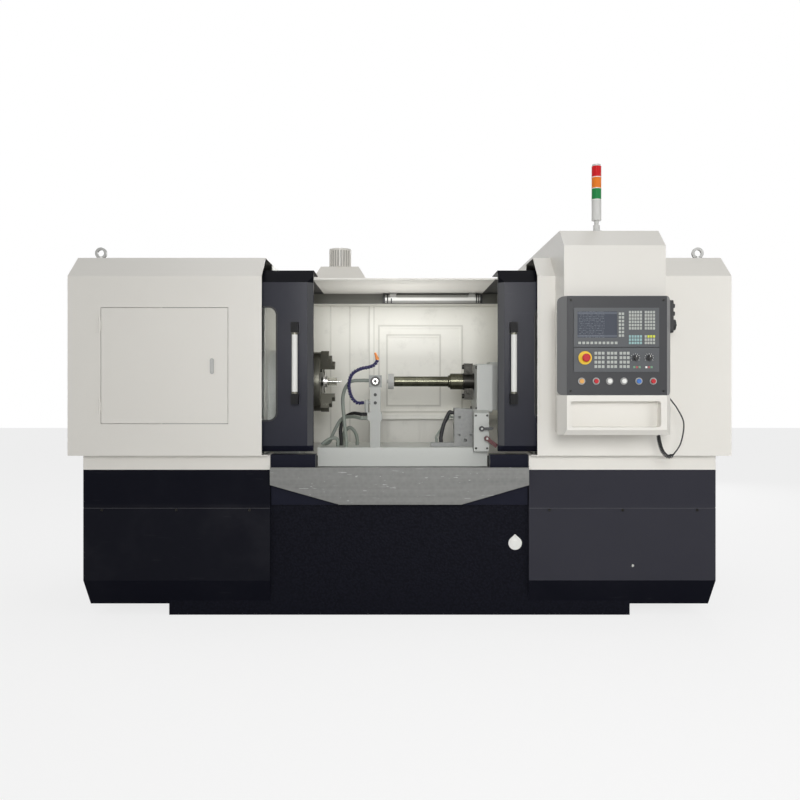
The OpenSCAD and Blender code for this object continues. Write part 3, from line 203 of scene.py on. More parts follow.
def hammered(name, colour):
    """Hammer-finish paint on the casting: dimpled cells under a satin coat."""
    paint = Finish(name, colour, 0.42, Specular_IOR_Level=0.06)
    dimple = paint.cells(95, "SMOOTH_F1").ramp(0.05, 0.75)
    paint.feed("Base Color", paint.mix(dimple, tone(colour, 1.25), tone(colour, 0.75)))
    paint.feed("Roughness", 0.34 + dimple * 0.2 + paint.noise(3, 4) * 0.1)
    return paint.bump(dimple * -1.0 + paint.noise(400, 2) * 0.2, 0.5, 0.0016)


def dark_enamel(name, colour, sheen, low, high):
    """Dark enamel with dust, wipe marks and scratches, handled between two heights."""
    paint = Finish(name, colour, 0.40, Coat_Roughness=0.22, Specular_IOR_Level=0.05)
    paint.handled = paint.inside(paint.z, low, high)
    dust = paint.noise(2.2, 5, 0.62).ramp(0.42, 0.78)
    wipe = paint.noise(6, 4, 0.6, paint.stretched(1, 1, 0.18)).ramp(0.5, 0.75)
    scratch = paint.noise(60, 2, 0.5, paint.stretched(0.12, 1, 1)).ramp(0.70, 0.74)
    film = dust * (0.03 + paint.handled * 0.07) + scratch * 0.05
    paint.shade = paint.mix(film, colour, (0.085, 0.085, 0.092))
    paint.feed("Base Color", paint.shade)
    paint.feed("Roughness", 0.34 + dust * 0.16 + wipe * 0.10)
    paint.feed("Coat Weight", paint.handled * (sheen - dust * sheen * 0.4))
    return paint.bump(paint.noise(300, 2), 0.08, 0.0008)


def door_enamel():
    """Dark enamel, with painted light on the bevel of each door's leading edge and painted shade on
    the top fold.
    """
    foot, head = 0.917, 1.793
    left_bevel, right_bevel, bevel_depth = (-0.4945, -0.4655), (0.5335, 0.5625), (-0.5095, -0.479)
    paint = dark_enamel("door_paint", (0.0125, 0.0135, 0.0235), 0.48, foot, head)
    bevel = paint.inside(paint.x, *left_bevel).either(paint.inside(paint.x, *right_bevel))
    # Painted light: the bevel of each leading edge is paler between the handled heights.
    lit_bevel = bevel * paint.handled * paint.inside(paint.y, *bevel_depth)
    # Painted shade: the top fold above the handled height is darker.
    shade = paint.mix(paint.z > head, paint.shade, tone(NAVY, 0.5))
    return paint.feed("Base Color", paint.mix(lit_bevel * 0.6, shade, (0.12, 0.122, 0.125)))


def skirt_enamel():
    """Dark enamel with painted sheen on the right side, a painted highlight along the joint and one
    chip.
    """
    foot, top, front_y, joint_highlight = 0.19, 0.60, -0.485, (0.5785, 0.5812)
    chip_x, chip_z, chip_r = 1.255, 0.272, 0.0065
    paint = dark_enamel("skirt_paint", NAVY, 0.10, foot, top)
    front = paint.y < front_y
    # Painted sheen: the front of the right skirt is paler.
    side = (paint.x > 0) * front * (paint.z > foot + 0.002)
    right_sheen = side * (0.75 + paint.noise(1.4, 4) * 0.35)
    shade = paint.mix(right_sheen, paint.shade, (0.036, 0.036, 0.046))
    # Painted highlight: a pale line along the joint.
    shade = paint.mix(paint.inside(paint.z, *joint_highlight) * 0.35, shade, (0.16, 0.16, 0.17))
    ragged = paint.from_point(x=chip_x, z=chip_z) + paint.noise(160) * 0.008 - 0.004
    chip = (ragged < chip_r) * front
    return paint.feed("Base Color", paint.mix(chip, shade, (0.55, 0.55, 0.52)))


def guard_enamel():
    """Splash guard: pale enamel with coolant grime low down over the ledges, and painted shade
    along the folds and round the raised frames.
    """
    frames = ((-0.128, 0.410, 1.070, 1.626), (-0.076, 0.268, 1.110, 1.567))
    folds = (-0.439, -0.316, -0.190, -0.160)
    frame_reach, fold_reach, splash_h = 0.009, 0.007, 0.42
    paint = enamel("guard_paint", INNER, 0.42, 0.05, 0.12, 0.22)
    floor_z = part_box("splash_guard")[0].z
    rear = paint.inside(paint.y, 0.36, 0.4465)
    runs = paint.noise(9, 5, 0.65, paint.stretched(1, 1, 0.12)).ramp(0.50, 0.80)
    grime = runs * paint.z.ramp(floor_z, floor_z + splash_h, 1.0, 0.0) * 0.35
    # Painted shade round each raised frame, added to the grime.
    for x0, x1, z0, z1 in frames:
        across = abs(paint.x - (x0 + x1) / 2) - (x1 - x0) / 2
        along = abs(paint.z - (z0 + z1) / 2) - (z1 - z0) / 2
        edge = abs(across.either(along)).ramp(0.0, frame_reach, 1.0, 0.0)
        grime = grime.either(edge * rear * 0.45)
    # Painted shade along each fold, added to the grime.
    for fold in folds:
        line = abs(paint.x - fold).ramp(0.0, fold_reach, 1.0, 0.0)
        grime = grime.either(line * rear * 0.35)
    # The grime colour also paints the shade round the frames and folds.
    return paint.feed("Base Color", paint.mix(grime, paint.shade, (0.30, 0.29, 0.24)))


def rolled_sheet(name):
    """Unpainted galvanised sheet with rolling lines, spangle and deep scratches."""
    steel = Finish(name, (0.165, 0.165, 0.16), 0.42, 0.45)
    lines = steel.noise(14, 4, 0.6, steel.stretched(0.06, 1, 3.5))
    spangle = steel.cells(46)
    scratch = steel.noise(26, 3, 0.55, steel.stretched(0.35, 1, 5)).ramp(0.70, 0.72)
    slash = steel.noise(11, 2, 0.5, steel.stretched(2.2, 1, 7)).ramp(0.72, 0.73)
    marks = scratch.either(slash)
    shade = steel.mix(lines, (0.112, 0.114, 0.109), (0.205, 0.206, 0.197))
    shade = steel.mix(spangle * 0.16, shade, (0.34, 0.345, 0.335))
    steel.feed("Base Color", steel.mix(marks * 0.35, shade, (0.55, 0.555, 0.55)))
    steel.feed("Roughness", 0.38 + lines * 0.22 - marks * 0.12)
    return steel.bump(lines * 0.5 - marks, 0.2, 0.0006)


def turned_steel(name, colour, roughness, oil):
    """Lathe-turned metal: rings along the grinding axis and a film of oil."""
    steel = Finish(name, colour, roughness, 1.0)
    rib = steel.noise(1, 2, 0.5, steel.stretched(900, 0.02, 0.02))
    film = steel.noise(16, 4, 0.6).ramp(0.35, 0.7) * oil
    steel.feed("Base Color", steel.mix(film, colour, tone(colour, 0.45)))
    steel.feed("Roughness", roughness + (rib - 0.5) * 0.2 - film * 0.12)
    return steel.bump(rib, 0.10, 0.0004)


def cowl_enamel():
    """White enamel, grey with oil mist between the flutes of the extractor cowl."""
    axis_x, axis_y, groove_r = -0.366, 0.255, 64.5 * MM
    paint = enamel("cowl_paint", WHITE)
    low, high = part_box("mist_extractor")
    fluted = paint.inside(paint.z, low.z + 0.154, high.z - 0.0125)
    groove = (paint.from_point(x=axis_x, y=axis_y) < groove_r) * fluted
    return paint.feed("Base Color", paint.mix(groove * 0.8, paint.shade, tone(WHITE, 0.5)))


def black_oxide(name, colour, rubbed):
    """Blackened steel with oil, rubbed bright on the working edges."""
    steel = Finish(name, colour, 0.36, 0.8)
    film = steel.noise(20, 5, 0.6)
    rub = steel.noise(48, 4, 0.65).ramp(0.60, 0.72)
    steel.feed("Base Color", steel.mix(rub * 0.5, colour, rubbed))
    steel.feed("Roughness", 0.24 + film * 0.24)
    return steel.bump(steel.noise(1, 2, 0.5, steel.stretched(700, 20, 20)), 0.12, 0.0004)


def moulded(name, colour, gloss, grain=0.12, scale=900):
    """Moulded plastic with a fine grain and slightly uneven gloss."""
    plastic = Finish(name, colour, gloss)
    cloud = plastic.noise(26, 3)
    plastic.feed("Base Color", plastic.mix(cloud, tone(colour, 0.92), tone(colour, 1.06)))
    plastic.feed("Roughness", gloss + (cloud - 0.5) * 0.14)
    return plastic.bump(plastic.noise(scale, 2), grain, 0.0005)


def console_moulding():
    """Grained dark console plastic, with painted light on the two flared sides, in a paler grey."""
    left_edge, right_edge = 0.8265, 1.3225
    plastic = moulded("console_paint", SLATE, 0.45, 0.25, 1100)
    # Painted light: the flared sides, which face sideways, are paler than the front.
    lit_flare = (plastic.x < left_edge).either(plastic.x > right_edge)
    front = plastic.mix(plastic.noise(26, 3), tone(SLATE, 0.9), tone(SLATE, 1.1))
    return plastic.feed("Base Color", plastic.mix(lit_flare, front, (0.185, 0.187, 0.19)))


def abrasive(name):
    """Bonded grit: pale grains in a grey bond."""
    stone = Finish(name, (0.50, 0.50, 0.48), 0.85)
    grains = stone.cells(900)
    stone.feed("Base Color", stone.mix(grains, (0.62, 0.62, 0.60), (0.30, 0.30, 0.29)))
    return stone.bump(grains, 0.6, 0.0008)


def clear_pane(name):
    """Door glazing: thin, slightly smoky and smeared with dried coolant."""
    pane = Finish(name, (0.88, 0.91, 0.88), 0.06, Transmission_Weight=0.9, IOR=1.45)
    smear = pane.noise(5, 5, 0.6, pane.stretched(1, 1, 0.3)).ramp(0.5, 0.8)
    pane.feed("Roughness", 0.05 + smear * 0.25)
    pane.feed("Alpha", 0.28 + smear * 0.25)
    return pane


def paint_nodes(finish, *names):
    """Give CAD nodes a finish in place of their plain packed material."""
    for name in names:
        slots = NODES[name].data.materials
        slots.clear()
        slots.append(finish.material)


white_paint = enamel("white_paint", WHITE)
# Painted shade: the cabinet gets a darker copy of the white paint, as its front stands nearer the
# lamps.
shaded_cabinet_paint = enamel("shaded_cabinet_paint", tone(WHITE, 0.94))
inner_paint = guard_enamel()
casting_paint = enamel("casting_paint", CASTING, 0.40, 0.04, 0.22, 0.16)
door_paint = door_enamel()
skirt_paint = skirt_enamel()
bed_paint = hammered("bed_paint", NAVY)
bare_sheet = rolled_sheet("bare_sheet")
bright_steel = turned_steel("bright_steel", (0.62, 0.61, 0.58), 0.28, 0.2)
oiled_steel = turned_steel("oiled_steel", (0.112, 0.110, 0.080), 0.28, 0.6)
chuck_steel = black_oxide("chuck_steel", (0.145, 0.142, 0.117), (0.34, 0.33, 0.27))
eye_steel = turned_steel("eye_steel", (0.34, 0.34, 0.33), 0.40, 0.2)
blackened = black_oxide("blackened", (0.022, 0.021, 0.018), (0.12, 0.115, 0.095))
console_paint = console_moulding()
black_plastic = moulded("black_plastic", BLACK, 0.40)
white_plastic = moulded("white_plastic", PLASTIC_WHITE, 0.25, 0.04)
red_plastic = moulded("red_plastic", (0.50, 0.022, 0.030), 0.22, 0.04)
amber_plastic = moulded("amber_plastic", (0.72, 0.37, 0.10), 0.22, 0.04)
blue_plastic = moulded("blue_plastic", (0.055, 0.17, 0.50), 0.22, 0.04)
dull_red = moulded("dull_red", (0.075, 0.004, 0.007), 0.48, 0.06)
hose_blue = moulded("hose_blue", (0.012, 0.010, 0.080), 0.34, 0.05)
hose_grey = moulded("hose_grey", (0.24, 0.27, 0.235), 0.42, 0.10)
nozzle_orange = moulded("nozzle_orange", (0.75, 0.24, 0.04), 0.30, 0.05)
black_rubber = moulded("black_rubber", BLACK, 0.55, 0.20)
grit = abrasive("grit")
glazing = clear_pane("glazing")

paint_nodes(white_paint, "left_enclosure", "right_enclosure", "storage_tray", "access_door")
paint_nodes(cowl_enamel(), "mist_extractor")
paint_nodes(shaded_cabinet_paint, "control_cabinet")
paint_nodes(inner_paint, "splash_guard")
paint_nodes(casting_paint, "table", "workhead", "x_carriage", "spindle_motor")
paint_nodes(door_paint, "left_door", "right_door", "door_sills")
paint_nodes(skirt_paint, "base_skirts")
paint_nodes(bed_paint, "bed")
paint_nodes(bare_sheet, "apron")
paint_nodes(bright_steel, "door_rail", "wheelhead_ways", "work_spindle", "motor_pulley")
paint_nodes(eye_steel, "lifting_eyes", "access_latch")
paint_nodes(oiled_steel, "quill")
paint_nodes(chuck_steel, "chuck", "chuck_jaw_1", "chuck_jaw_2", "chuck_jaw_3")
paint_nodes(blackened, "quill_clamp")
paint_nodes(console_paint, "console_housing")
paint_nodes(black_plastic, "coolant_lever", "knob_1", "knob_2", "pendant", "pendant_wheel")
paint_nodes(white_plastic, "oil_sight", "button_3", "button_4")
paint_nodes(red_plastic, "estop", "button_2", "button_6")
paint_nodes(dull_red, "drain_handle")
paint_nodes(amber_plastic, "button_1")
paint_nodes(blue_plastic, "button_5")
paint_nodes(black_rubber, "drive_belt")
paint_nodes(grit, "grinding_wheel")
paint_nodes(glazing, "left_window", "right_window")


# Finishes that change along one piece

def grip_tube(name, node):
    """White tube between black end brackets."""
    low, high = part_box(node)
    tube = Finish(name, PLASTIC_WHITE, 0.25, Specular_IOR_Level=0.15)
    cap = (tube.z < low.z + BRACKET_H * MM).either(tube.z > high.z - BRACKET_H * MM)
    tube.feed("Base Color", tube.mix(cap, PLASTIC_WHITE, tone(BLACK, 0.5)))
    tube.feed("Roughness", 0.22 + cap * 0.2 + tube.noise(30) * 0.06)
    tube.bump(tube.noise(700, 2), 0.06, 0.0005)
    paint_nodes(tube, node)


def lamp_tube():
    """Clear tube over a bright strip, with black end caps and grey hangers."""
    low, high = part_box("work_lamp")
    axis_z, tube_r, cap_w, strip_drop = LAMP_Z * MM, 24 * MM, 14.5 * MM, 4 * MM
    tube = Finish("lamp_tube", (0.55, 0.55, 0.52), 0.18, Coat_Weight=0.4)
    cap = (tube.x < low.x + cap_w).either(tube.x > high.x - cap_w)
    hanger = tube.z > axis_z + tube_r
    strip = abs(tube.z - axis_z + strip_drop).ramp(6 * MM, 14 * MM, 1.0, 0.0)
    shade = tube.mix(strip, (0.30, 0.30, 0.28), (0.86, 0.86, 0.83))
    shade = tube.mix(hanger, shade, (0.14, 0.14, 0.13))
    tube.feed("Base Color", tube.mix(cap, shade, BLACK))
    tube.feed("Roughness", 0.16 + cap * 0.25 + tube.noise(30) * 0.06)
    tube.bump(tube.noise(700, 2), 0.06, 0.0005)
    paint_nodes(tube, "work_lamp")


grip_tube("left_grip", "left_handle")
grip_tube("right_grip", "right_handle")
lamp_tube()


def roof_paint():
    """White roof; below it, painted shade: dark door pockets at both sides and a dark header at the
    rear.
    """
    underside, header_foot, header_front = 1.8155, 1.7515, 0.2665
    left_pocket, right_pocket = -0.470, 0.520
    paint = Finish("roof_paint", WHITE, 0.4)
    below = paint.z < underside
    sides = (paint.x < left_pocket).either(paint.x > right_pocket)
    # Painted shade: the underside over each door pocket is black.
    pocket_shade = below * sides * (paint.y < header_front)
    # Painted shade: a dark band at the rear of the underside.
    header_shade = below * (paint.y > header_front) * (paint.z > header_foot)
    shade = paint.mix(paint.noise(1.7, 4), tone(WHITE, 0.97), tone(WHITE, 1.03))
    shade = paint.mix(header_shade, shade, (0.078, 0.077, 0.062))
    paint.feed("Base Color", paint.mix(pocket_shade, shade, BLACK))
    paint.feed("Roughness", 0.36 + paint.noise(34) * 0.12 + pocket_shade * 0.2)
    paint.bump(paint.noise(330, 2), 0.1, 0.0008)
    paint_nodes(paint, "roof")


def wheelhead_paint():
    """Pale castings with a darker, unpainted gusset and hose bar below the plate."""
    plate_x, gusset_y = 0.4295, -0.300
    paint = Finish("wheelhead_paint", CASTING, 0.4)
    gusset = (paint.x < plate_x) * (paint.y > gusset_y)
    cloud = paint.noise(9, 4)
    painted = paint.mix(cloud, tone(CASTING, 0.80), tone(CASTING, 0.90))
    cast = paint.mix(paint.noise(60, 4), (0.24, 0.245, 0.24), (0.36, 0.365, 0.355))
    paint.feed("Base Color", paint.mix(gusset, painted, cast))
    paint.feed("Roughness", 0.36 + cloud * 0.12 + gusset * 0.15)
    paint.bump(paint.noise(260, 2), 0.2, 0.0008)
    paint_nodes(paint, "wheelhead")


def dresser_paint():
    """Pale post with two black bolts; the head has a grey face and a blackened retaining ring."""
    post = tone(CASTING, 0.70)
    axis_x, head_foot, head_front, post_front = DRESSER_X * MM, 1.2295, -0.3125, -0.3155
    ring_r, bolt_r, bolt_heights = 28 * MM, 9.6 * MM, (1188 * MM, 1143 * MM)
    paint = Finish("dresser_paint", post, 0.4)
    head = (paint.z > head_foot) * (paint.y < head_front)
    ring = (paint.from_point(x=axis_x, z=DRESSER_HEAD_Z * MM) < ring_r) * head
    upper, lower = (paint.from_point(x=axis_x, z=z) < bolt_r for z in bolt_heights)
    bolts = upper.either(lower) * (paint.y < post_front)
    cloud = paint.noise(14, 4)
    shade = paint.mix(cloud, tone(post, 0.96), tone(post, 1.06))
    shade = paint.mix(head, shade, tone(post, 0.72))
    shade = paint.mix(ring, shade, (0.050, 0.050, 0.046))
    paint.feed("Base Color", paint.mix(bolts, shade, (0.020, 0.020, 0.020)))
    paint.feed("Roughness", 0.38 + cloud * 0.1)
    paint.bump(paint.noise(300, 2), 0.15, 0.0008)
    paint_nodes(paint, "dresser")


roof_paint()
wheelhead_paint()
dresser_paint()


def signal_lenses():
    """Ribbed lenses: green, amber and red over a clear housing."""
    top_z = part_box("signal_tower")[1].z
    cap_h, lens_h, pitch = 10 * MM, 55 * MM, 59 * MM
    clear, red, amber, green = (
        (0.62, 0.62, 0.60), (0.62, 0.008, 0.012), (0.80, 0.20, 0.015), (0.010, 0.22, 0.055))
    lens = Finish("tower_lenses", clear, 0.25, Specular_IOR_Level=0.2)
    shade = clear
    for k, tint in enumerate((red, amber, green)):
        top = top_z - cap_h - k * pitch
        shade = lens.mix(lens.inside(lens.z, top - lens_h, top), shade, tint)
    lens.feed("Base Color", shade)
    ribs = lens.node("ShaderNodeTexWave", {"wave_type": "BANDS", "bands_direction": "Z"},
                     {"Vector": lens.place, "Scale": 52.0, "Distortion": 0.0}, 1)
    lens.bump(ribs, 0.35, 0.002)
    paint_nodes(lens, "signal_tower")


signal_lenses()


def panel_face():
    """Display and keypad units: grey face, pale keys, a dark screen and a yellow stop collar."""
    stop_x, collar_r, lines_per_m = 915 * MM, 33.5 * MM, 118
    face = Finish("panel_face", (0.12, 0.125, 0.13), 0.4)

    def across(low, high):
        return face.inside(face.x, low * MM, high * MM)

    def up(low, high):
        return face.inside(face.z, low * MM, high * MM)

    keys = face.y < (UNIT_FACE_Y - 0.6) * MM
    collar = (face.from_point(x=stop_x, z=KNOB_Z * MM) < collar_r) * keys
    cyan = across(1130, 1202) * up(1440, 1494)
    lime = across(1222, 1266) * up(1474, 1494)
    key_shade = face.mix(cyan, (0.40, 0.42, 0.39), (0.26, 0.42, 0.42))
    key_shade = face.mix(lime, key_shade, (0.62, 0.66, 0.06))
    shade = face.mix(keys, (0.068, 0.073, 0.079), key_shade)

    screen = across(878, 1074) * up(1476, 1606) * (face.y > (UNIT_FACE_Y + 1) * MM)
    lines = face.z * lines_per_m
    text = face.inside(lines.math("FRACT", lines), 0.25, 0.65) * across(886, 1012)
    word = face.noise(1, 2, 0.5, face.stretched(230, 1, 0.1 / MM)).ramp(0.47, 0.53)
    bars = up(1593, 1603).either(up(1480, 1489))
    display = face.mix(text * word * 0.35, (0.050, 0.058, 0.078), (0.30, 0.33, 0.36))
    display = face.mix(bars * 0.35, display, (0.20, 0.22, 0.26))

    shade = face.mix(screen, shade, display)
    face.feed("Base Color", face.mix(collar, shade, (0.80, 0.52, 0.02)))
    face.feed("Roughness", 0.36 + face.noise(40, 3) * 0.14 - screen * 0.28)
    face.bump(face.noise(900, 2), 0.08, 0.0004)
    paint_nodes(face, "control_panels")


panel_face()


# Camera at the photographer's place

camera = bpy.data.objects.new("camera", bpy.data.cameras.new("camera"))
camera.location = (-0.024, -5.055, 1.237)
camera.rotation_euler = (math.pi / 2, 0, 0)
camera.data.sensor_width = 36
camera.data.lens = 38.2
camera.data.shift_x = 0.00625
camera.data.shift_y = -0.0175
bpy.context.collection.objects.link(camera)
bpy.context.scene.camera = camera


# Cords and hoses, on the same routes as the solids

def smooth(points, steps):
    """Catmull-Rom curve through the points, as the part's source draws its tubes."""
    path = []
    for i in range(len(points) - 1):
        a, b, c, d = (Vector(points[min(max(k, 0), len(points) - 1)]) for k in range(i - 1, i + 3))
        for k in range(steps):
            t = k / steps
            path.append(0.5 * (2 * b + (c - a) * t + (2 * a - 5 * b + 4 * c - d) * t * t
                               + (3 * b - a - 3 * c + d) * t ** 3))
    return path + [Vector(points[-1])]


def metres(points, y=None):
    """Points in mm, or (x, z) points at one depth, as vectors in metres."""
    return [Vector(p if y is None else (p[0], y, p[1])) * MM for p in points]


def length_of(path):
    return sum((b - a).length for a, b in zip(path, path[1:]))


def headings(path):
    """Direction of a path at each of its points."""
    last = len(path) - 1
    return [(path[min(i + 1, last)] - path[max(i - 1, 0)]).normalized() for i in range(len(path))]


def wound(path, radius, pitch, steps=14):
    """Helix round a path: the turns of a curly cord."""
    spaced, travelled = [0.0], 0.0
    for a, b in zip(path, path[1:]):
        travelled += (b - a).length
        spaced.append(travelled)
    turns = round(travelled / pitch)
    side = headings(path)[0].orthogonal().normalized()
    helix, i = [], 0
    for k in range(turns * steps + 1):
        at = travelled * k / (turns * steps)
        while i < len(path) - 2 and spaced[i + 1] < at:
            i += 1
        part = (at - spaced[i]) / (spaced[i + 1] - spaced[i])
        forward = (path[i + 1] - path[i]).normalized()
        side = (side - forward * side.dot(forward)).normalized()
        angle = 2 * math.pi * k / steps
        ease = min(1.0, k / steps, (turns * steps - k) / steps)
        outward = side * math.cos(angle) + forward.cross(side) * math.sin(angle)
        helix.append(path[i].lerp(path[i + 1], part) + radius * ease * outward)
    return helix


def lead(name, path, radius, finish, body):
    """A round flexible tube along a path."""
    curve = bpy.data.curves.new(name, "CURVE")
    curve.dimensions = "3D"
    curve.bevel_depth = radius
    curve.bevel_resolution = 3
    curve.use_fill_caps = True
    spline = curve.splines.new("POLY")
    spline.points.add(len(path) - 1)
    for point, place in zip(spline.points, path):
        point.co = (*place, 1)
    spline.use_smooth = True
    piece = bpy.data.objects.new(name, curve)
    bpy.context.collection.objects.link(piece)
    curve.materials.append(finish.material)
    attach(piece, body)
    return piece


def declare(path, radius):
    """Work out a tube's length and twice its radius, and keep neither."""
    length_of(path)
    2 * radius


def pendant_cord():
    """Curly cord: two wound lengths with a plain loop between them."""
    y, radius, turn, pitch = -734, 3.5 * MM, 7.3 * MM, 8.4 * MM
    top = smooth(metres([(1364, 1484.5), (1363, 1440), (1356, 1370), (1354, 1300)], y), 8)
    upper = smooth(metres([(1354, 1300), (1353, 1256), (1354, 1214)], y), 12)
    loop = smooth(metres([(1354, 1214), (1370, 1180), (1414, 1120), (1446, 1045), (1430, 945),
                          (1392, 886)], y), 8)
    lower = smooth(metres([(1392, 886), (1364, 878), (1336, 908), (1320, 960), (1318, 990)], y), 12)
    path = top[:-1] + wound(upper, turn, pitch)[:-1] + loop[:-1] + wound(lower, turn, pitch)
    piece = lead("curly_cord", path, radius, black_rubber, "frame")
    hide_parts("pendant_cord")
    declare(path, radius)


def rising(x, y, z):
    """Points of a tube that comes straight up out of a level face."""
    return [(x, y, z + h) for h in (0.3, 16, 34)]


def falling(x, y, z):
    """Points of a tube that goes straight down into a level face."""
    return rising(x, y, z)[::-1]


def into(x, y, z):
    """Points of a tube that goes straight into an upright face on its right."""
    return [(x - d, y, z) for d in (40, 20, 0.3)]


def out_of(x, y, z):
    """Points of a tube that comes straight out of an upright face on its right."""
    return [(x - d, y, z) for d in (0.3, 14, 28)]


def wheelhead_hoses():
    """Coolant and air hoses from the gusset down to the bar below the plate."""
    y, gusset, bar = -225, 312, 916.5
    feeds = (("coolant_feed", 11, black_rubber, "black_rubber",
              out_of(gusset, y, 1085) + [(254, y, 1020)] + falling(238, y, bar)),
             ("air_feed", 7, hose_grey, "hose_grey",
              out_of(gusset, y + 26, 1060) + [(242, y + 24, 995)] + falling(212, y, bar)))
    for name, radius, finish, slot, route in feeds:
        path = smooth(metres(route), 8)
        piece = lead(name, path, radius * MM, finish, "wheelhead")
        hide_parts("wheelhead_hose")
        declare(path, radius * MM)


def table_conduits():
    """Conduits between the table, the dresser post and the dresser's head."""
    y, hose_y, top, post, head, radius = -175, -295, 894, -178.5, -169, 10 * MM
    lie = top + 10.3
    routes = (
        [(-430, y, lie), (-400, y, 918), (-372, y, 980), (-330, y, 1048), (-268, y - 50, 1062)]
        + into(post, hose_y + 12, 1057),
        rising(-330, y + 60, top)
        + [(-318, y + 60, 968), (-287, y + 60, 996), (-256, y + 60, 968)]
        + falling(-244, y + 60, top),
        [(-440, y - 50, lie), (-404, y - 50, 932), (-366, y - 50, 941)]
        + falling(-349, y - 50, top),
        rising(-336, y + 30, top)
        + [(-338, y + 30, 990), (-318, y + 25, 1050), (-268, y - 10, 1080)]
        + into(post, hose_y + 36, 1078),
        rising(-300, hose_y + 45, top)
        + [(-312, hose_y + 45, 1050), (-318, hose_y + 40, 1180), (-280, hose_y + 30, 1258)]
        + into(head, hose_y + 20, 1268))
    finishes = (hose_grey, hose_grey, hose_grey, black_rubber, hose_grey)
    for k, (route, finish) in enumerate(zip(routes, finishes)):
        path = smooth(metres(route), 8)
        piece = lead(f"conduit_{k + 1}", path, radius, finish, "frame")
        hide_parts("table_conduits")
        declare(path, radius)


pendant_cord()
wheelhead_hoses()
table_conduits()


# Modelling helpers

def start():
    """Leave edit mode and deselect everything, so that an operator acts on the new piece alone."""
    if bpy.context.object and bpy.context.object.mode != "OBJECT":
        bpy.ops.object.mode_set(mode="OBJECT")
    bpy.ops.object.select_all(action="DESELECT")


def turned(name, rings, at, axis="z", sides=32, bored=False):
    """A turned piece: a circle, extruded and resized ring by ring.

    Rings are (radius, height) in mm. A bored piece is open through its middle, and its last ring
    meets the first again.
    """
    start()
    rings = rings + rings[:1] if bored else rings
    radius, height = rings[0]
    bpy.ops.mesh.primitive_circle_add(vertices=sides, radius=radius * MM,
                                      fill_type="NOTHING" if bored else "NGON",
                                      location=(0, 0, height * MM))
    piece = bpy.context.object
    piece.name = name
    bpy.ops.object.transform_apply(location=True)
    bpy.ops.object.mode_set(mode="EDIT")
    bpy.ops.mesh.select_all(action="SELECT")
    for new_radius, new_height in rings[1:]:
        rise = (0, 0, (new_height - height) * MM)
        bpy.ops.mesh.extrude_region_move(TRANSFORM_OT_translate={"value": rise})
        grow = new_radius / radius
        bpy.ops.transform.resize(value=(grow, grow, 1), center_override=(0, 0, new_height * MM))
        radius, height = new_radius, new_height
    bpy.ops.mesh.select_all(action="SELECT")
    if bored:
        bpy.ops.mesh.remove_doubles(threshold=0.01 * MM)
    bpy.ops.mesh.normals_make_consistent(inside=False)
    bpy.ops.object.mode_set(mode="OBJECT")
    turn = {"x": Matrix.Rotation(math.pi / 2, 4, "Y"), "-x": Matrix.Rotation(-math.pi / 2, 4, "Y"),
            "y": Matrix.Rotation(-math.pi / 2, 4, "X"), "-y": Matrix.Rotation(math.pi / 2, 4, "X"),
            "z": Matrix.Identity(4)}[axis]
    piece.data.transform(Matrix.Translation(Vector(at) * MM) @ turn)
    bpy.ops.object.shade_smooth_by_angle(angle=math.radians(35))
    return piece


def copied(pattern, moves):
    """A piece and its copies, each with its own mesh. A move is a matrix or a shift in mm."""
    pieces = [pattern]
    for move in moves:
        piece = pattern.copy()
        piece.data = pattern.data.copy()
        bpy.context.collection.objects.link(piece)
        shift = move if isinstance(move, Matrix) else Matrix.Translation(Vector(move) * MM)
        piece.data.transform(shift)
        pieces.append(piece)
    return pieces


def repeated(pattern, places):
    """A piece that was made at the first of several places in mm, and its copies at the others."""
    return copied(pattern, [Vector(place) - Vector(places[0]) for place in places[1:]])


def joined(name, pieces, finish, body):
    """Several like pieces as one, finished and riding on a body."""
    start()
    for piece in pieces:
        piece.select_set(True)
    bpy.context.view_layer.objects.active = pieces[0]
    if len(pieces) > 1:
        bpy.ops.object.join()
    piece = pieces[0]
    piece.name = name
    piece.data.materials.clear()
    piece.data.materials.append(finish.material)
    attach(piece, body)
    return piece


# Segmented coolant hose

def bead_matrix(place, forward):
    """Stand a piece that was made along Z at a place, facing forward."""
    return Matrix.Translation(place) @ forward.to_track_quat("Z", "X").to_matrix().to_4x4()


